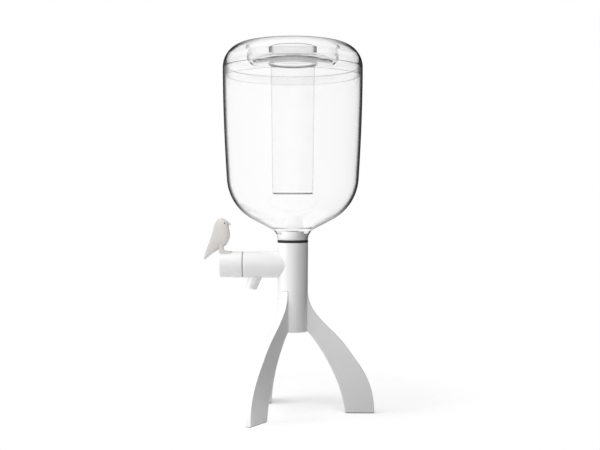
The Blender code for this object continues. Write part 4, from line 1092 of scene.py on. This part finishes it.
class DISPENSER_OT_handle(bpy.types.Operator):
    """Build the turning end of the tap"""
    bl_idname = "dispenser.handle"
    bl_label = "Handle"

    def execute(self, context):
        sizes = context.scene.dispenser_tap
        start, end = AXIS_X - HANDLE_HIGH.x, AXIS_X - HANDLE_LOW.x
        step, web = start + sizes.handle_step, start + sizes.handle_web
        disc_r = (DISC_HIGH.y - DISC_LOW.y) / 2
        disc = DISC_HIGH.x - DISC_LOW.x
        shelf = end - disc - GAP
        pen = Pen(sizes.handle_bore_r, start).line(sizes.barrel_r, start, sizes.edge_rounding, 3)
        pen.line(sizes.barrel_r, step, *CRISP).line(sizes.handle_end_r, step)
        pen.line(sizes.handle_end_r, end, *HANDLE_EDGE).line(disc_r + GAP, end, *FINE)
        pen.line(disc_r + GAP, shelf).line(sizes.handle_hollow_r, shelf)
        pen.line(sizes.handle_hollow_r, web).line(sizes.handle_bore_r, web)
        finish_piece("tap_handle_fine", at_tap(pen.close().turn(FACETS)), "tap_handle", body="handle")
        pen = Pen(0, end - disc).line(disc_r, end - disc).line(disc_r, end, *DISC_EDGE).line(0, end)
        finish_piece("handle_end_plate", at_tap(pen.turn(FACETS)), "handle_end_disc", body="handle")
        return {"FINISHED"}


# Bird: the back and front points (x, z) of its cross-sections from tail to beak, and the half
# width against the half depth, as shares of the bird's size from the point where it perches
BIRD_SECTION_SHARES = (
    ((-0.430, -0.160), (-0.390, -0.190), 1.40),
    ((-0.390, -0.040), (-0.290, -0.100), 1.15),
    ((-0.350, 0.100), (-0.170, -0.020), 1.00),
    ((-0.300, 0.220), (-0.060, 0.060), 0.95),
    ((-0.260, 0.340), (0.092, 0.124), 0.90),
    ((-0.220, 0.480), (0.186, 0.254), 0.88),
    ((-0.180, 0.600), (0.218, 0.408), 0.88),
    ((-0.158, 0.690), (0.196, 0.520), 0.90),
    ((-0.110, 0.762), (0.178, 0.590), 0.92),
    ((-0.026, 0.812), (0.178, 0.610), 0.94),
    ((0.070, 0.790), (0.175, 0.620), 0.95),
    ((0.135, 0.745), (0.185, 0.630), 0.90),
    ((0.180, 0.690), (0.195, 0.640), 1.00),
    ((0.240, 0.665), (0.243, 0.652), 1.00),
)
EYE_SHARES = (0.086, 0.128, 0.684)
RING_POINTS = 16
TAIL_CREASE = 0.8

# A leg with its toes in (x, z) points from the perch; those of the tip are from the toe's end
FOOT_HEEL = ((-0.0030, 0.0130), (-0.0030, -0.0040))
FOOT_TIP = ((0.0, -0.0040), (0.0, -0.0006), (-0.0010, 0.0004))
FOOT_INSTEP = ((0.0050, 0.0010), (0.0032, 0.0016), (0.0024, 0.0030), (0.0021, 0.0130))


def bird_mesh(size):
    """The bird's body as rings of points from tail to beak, joined by faces."""
    bm = bmesh.new()
    crease = bm.edges.layers.float.new("crease_edge")
    rings = []
    for back, front, width_share in BIRD_SECTION_SHARES:
        back = Vector((back[0], 0, back[1])) * size
        front = Vector((front[0], 0, front[1])) * size
        depth = (front - back) / 2
        across = Vector((0, depth.length * width_share, 0))
        turn = Matrix((depth, across, depth.cross(across).normalized())).transposed().to_4x4()
        matrix = Matrix.Translation((back + front) / 2) @ turn
        made = bmesh.ops.create_circle(bm, cap_ends=False, segments=RING_POINTS, radius=1, matrix=matrix)
        rings.append(list({e for v in made["verts"] for e in v.link_edges}))
    for edge in rings[0]:
        edge[crease] = TAIL_CREASE
    for lower, upper in zip(rings, rings[1:]):
        bmesh.ops.bridge_loops(bm, edges=lower + upper)
    bmesh.ops.holes_fill(bm, edges=rings[0] + rings[-1], sides=RING_POINTS)
    bmesh.ops.recalc_face_normals(bm, faces=bm.faces[:])
    return bm


class DISPENSER_OT_bird(bpy.types.Operator):
    """Build the bird with its eyes and its L-shaped feet"""
    bl_idname = "dispenser.bird"
    bl_label = "Bird"

    def execute(self, context):
        sizes = context.scene.dispenser_bird
        tap = context.scene.dispenser_tap
        perch = Vector((AXIS_X - sizes.place, 0, TAP_Z + tap.handle_end_r))
        body = finish_piece("bird_shell", placed(bird_mesh(sizes.size), *perch), "bird_body",
                            "bird_plastic", "handle", even=False)
        body.data.set_sharp_from_angle(angle=pi)
        smooth = body.modifiers.new("smooth", "SUBSURF")
        smooth.levels = smooth.render_levels = 3

        toe = sizes.place - (AXIS_X - HANDLE_HIGH.x + tap.handle_step) - GAP
        outline = FOOT_HEEL + tuple((toe + x, z) for x, z in FOOT_TIP) + FOOT_INSTEP
        start = sizes.place - toe - GAP
        top = at_tap(rod(tap.handle_end_r + GAP, start, sizes.place + 2 * OVERRUN))
        for side, sign in (("front", -1), ("back", 1)):
            foot = eased(plate(outline, sizes.foot_thickness), *CRISP)
            for face in foot.faces:
                # Faces near the toe's end take the darker tip finish
                face.material_index = int(face.calc_center_median().x > toe - sizes.claw)
            placed(foot, *(perch + Vector((0, sign * sizes.stance, 0))))
            finish_piece("bird_leg_" + side, cut(foot, top.copy()), "bird_foot_" + side, "bird_plastic",
                         "handle", ("bird_plastic", "claw_grey"))
            eye = bmesh.new()
            bmesh.ops.create_icosphere(eye, subdivisions=4, radius=sizes.eye_r)
            spot = Vector((EYE_SHARES[0], sign * EYE_SHARES[1], EYE_SHARES[2])) * sizes.size
            finish_piece("bird_eye_bead_" + side, placed(eye, *(perch + spot)), "bird_eye_" + side,
                         "eye_black", "handle", even=False)
        return {"FINISHED"}


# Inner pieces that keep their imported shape, and their finish
INNER_LOOKS = {
    "drain_nut": "grey_plastic", "tap_washer": "black_rubber", "tap_lock_nut": "grey_plastic",
    "valve_core": "grey_plastic", "core_ring_inner": "black_rubber",
    "core_ring_outer": "black_rubber", "handle_screw": "screw_steel",
}


class DISPENSER_OT_fittings(bpy.types.Operator):
    """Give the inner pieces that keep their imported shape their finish"""
    bl_idname = "dispenser.fittings"
    bl_label = "Inner fittings"

    def execute(self, context):
        for name, look in INNER_LOOKS.items():
            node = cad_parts[name]
            node.data.materials.clear()
            node.data.materials.append(finish(look))
            light_up(node)
        return {"FINISHED"}


# Stage: how bright the surroundings are from left to right, to all rays and to those that pass
# through the plastic
SKY_STOPS = ((0.0, 1.0), (0.45, 0.75), (0.55, 0.48), (0.68, 0.12), (1.0, 0.03))
THROUGH_STOPS = ((0.0, 1.0), (0.70, 1.0), (1.0, 0.80))
CAMERA_STOPS = ((0.0, 1.0), (1.0, 1.0))

# What the lamps face, and each lamp's name, place, size and the pieces that it reaches
AIM = (0.0, 0.0, 0.26)
LAMPS = (
    ("key", (-1.25, -0.30, 0.45), (0.83, 1.30), "stand pieces"),
    ("bird key", (-1.25, -0.30, 0.45), (0.83, 1.30), "bird pieces"),
    ("bird fill", (0.85, -0.60, 0.45), (0.8, 0.8), "bird pieces"),
    ("top", (-0.25, -0.15, 1.45), (1.1, 1.1), "lit pieces"),
    ("front", (0.45, -1.50, 0.72), (1.0, 1.0), "lit pieces"),
)

# The camera's sensor and the nearest thing that it sees
SENSOR = 36.0
NEAREST = 0.01


def light_world(sky):
    """White to the camera, and a soft light that fades to the right for all else."""
    world = bpy.data.worlds.new("studio")
    bpy.context.scene.world = world
    tree = Shader(world, "ShaderNodeOutputWorld")
    across = tree.map(tree.add("SeparateXYZ", {0: tree.add("TexCoord", out="Generated")}, "X"), -1.0, 1.0)

    def backdrop(stops, strength):
        return tree.add("Background", {"Color": tree.ramp(across, stops), "Strength": strength})

    shown = backdrop(SKY_STOPS, sky)
    for ray, stops in (("Glossy", MIRRORED_STOPS), ("Transmission", THROUGH_STOPS),
                       ("Camera", CAMERA_STOPS)):
        shown = tree.blended(tree.add("LightPath", out=f"Is {ray} Ray"), shown, backdrop(stops, 1.0))
    tree.show(shown)


def area_light(name, place, size, reached, target, watts):
    """A rectangular soft box that faces a point and reaches one group of pieces."""
    light = bpy.data.lights.new(name, "AREA")
    light.shape = "RECTANGLE"
    light.size, light.size_y = size
    light.energy = watts
    item = bpy.data.objects.new(name, light)
    item.location = place
    item.rotation_euler = (Vector(target) - Vector(place)).to_track_quat("-Z", "Y").to_euler()
    item.light_linking.receiver_collection = lit_group(reached)
    bpy.context.scene.collection.objects.link(item)


class DISPENSER_OT_stage(bpy.types.Operator):
    """Set up the floor, the lights and the camera"""
    bl_idname = "dispenser.stage"
    bl_label = "Stage"

    def execute(self, context):
        sizes = context.scene.dispenser_stage
        bm = bmesh.new()
        bmesh.ops.create_circle(bm, cap_ends=True, segments=FACETS, radius=sizes.floor_r)
        floor = as_object(bm, "floor")
        floor.data.materials.append(finish("pale_floor"))
        light_up(floor)
        light_world(sizes.sky)
        bird = (AXIS_X - context.scene.dispenser_bird.place, 0, TAP_Z)
        for name, place, size, reached in LAMPS:
            watts = getattr(sizes, name.replace(" ", "_") + "_power")
            area_light(name, place, size, reached, bird if name == "bird fill" else AIM, watts)
        lens = bpy.data.cameras.new("photograph view")
        lens.sensor_fit = "HORIZONTAL"
        lens.sensor_width = SENSOR
        lens.lens = sizes.camera_lens
        lens.clip_start = NEAREST
        camera = bpy.data.objects.new("camera", lens)
        camera.location = sizes.camera_place
        camera.rotation_euler = (QUARTER - sizes.camera_pitch, 0, sizes.camera_turn)
        context.scene.collection.objects.link(camera)
        context.scene.camera = camera
        context.scene.view_settings.view_transform = "Standard"
        return {"FINISHED"}


class DISPENSER_PT_panel(bpy.types.Panel):
    """Lists the pieces, their sizes and the stage"""
    bl_idname = "DISPENSER_PT_panel"
    bl_label = "Water Dispenser"
    bl_space_type = "VIEW_3D"
    bl_region_type = "UI"
    bl_category = "Dispenser"

    def draw(self, context):
        column = self.layout.column(align=True)
        for operator in OPERATORS:
            column.operator(operator.bl_idname)
        for title, _ in GROUPS:
            box = self.layout.box()
            box.label(text=title)
            group = getattr(context.scene, title)
            for key in group.bl_rna.properties.keys():
                if key not in ("rna_type", "name"):
                    box.prop(group, key)


GROUPS = (
    ("dispenser_tank", TankSizes),
    ("dispenser_lid", LidSizes),
    ("dispenser_tube", TubeSizes),
    ("dispenser_stand", StandSizes),
    ("dispenser_tap", TapSizes),
    ("dispenser_bird", BirdSizes),
    ("dispenser_finishes", Finishes),
    ("dispenser_stage", StageSizes),
)
OPERATORS = (
    DISPENSER_OT_stage,
    DISPENSER_OT_tank,
    DISPENSER_OT_lid,
    DISPENSER_OT_ice_tube,
    DISPENSER_OT_column,
    DISPENSER_OT_legs,
    DISPENSER_OT_base_plug,
    DISPENSER_OT_tap,
    DISPENSER_OT_handle,
    DISPENSER_OT_bird,
    DISPENSER_OT_fittings,
)


def register():
    for name, group in GROUPS:
        bpy.utils.register_class(group)
        setattr(bpy.types.Scene, name, PointerProperty(type=group))
    for operator in OPERATORS:
        bpy.utils.register_class(operator)
    bpy.utils.register_class(DISPENSER_PT_panel)


def unregister():
    bpy.utils.unregister_class(DISPENSER_PT_panel)
    for operator in reversed(OPERATORS):
        bpy.utils.unregister_class(operator)
    for name, group in reversed(GROUPS):
        delattr(bpy.types.Scene, name)
        bpy.utils.unregister_class(group)


def main():
    register()
    for operator in OPERATORS:
        call = operator.bl_idname.split(".")[1]
        getattr(bpy.ops.dispenser, call)()


if __name__ == "__main__":
    main()
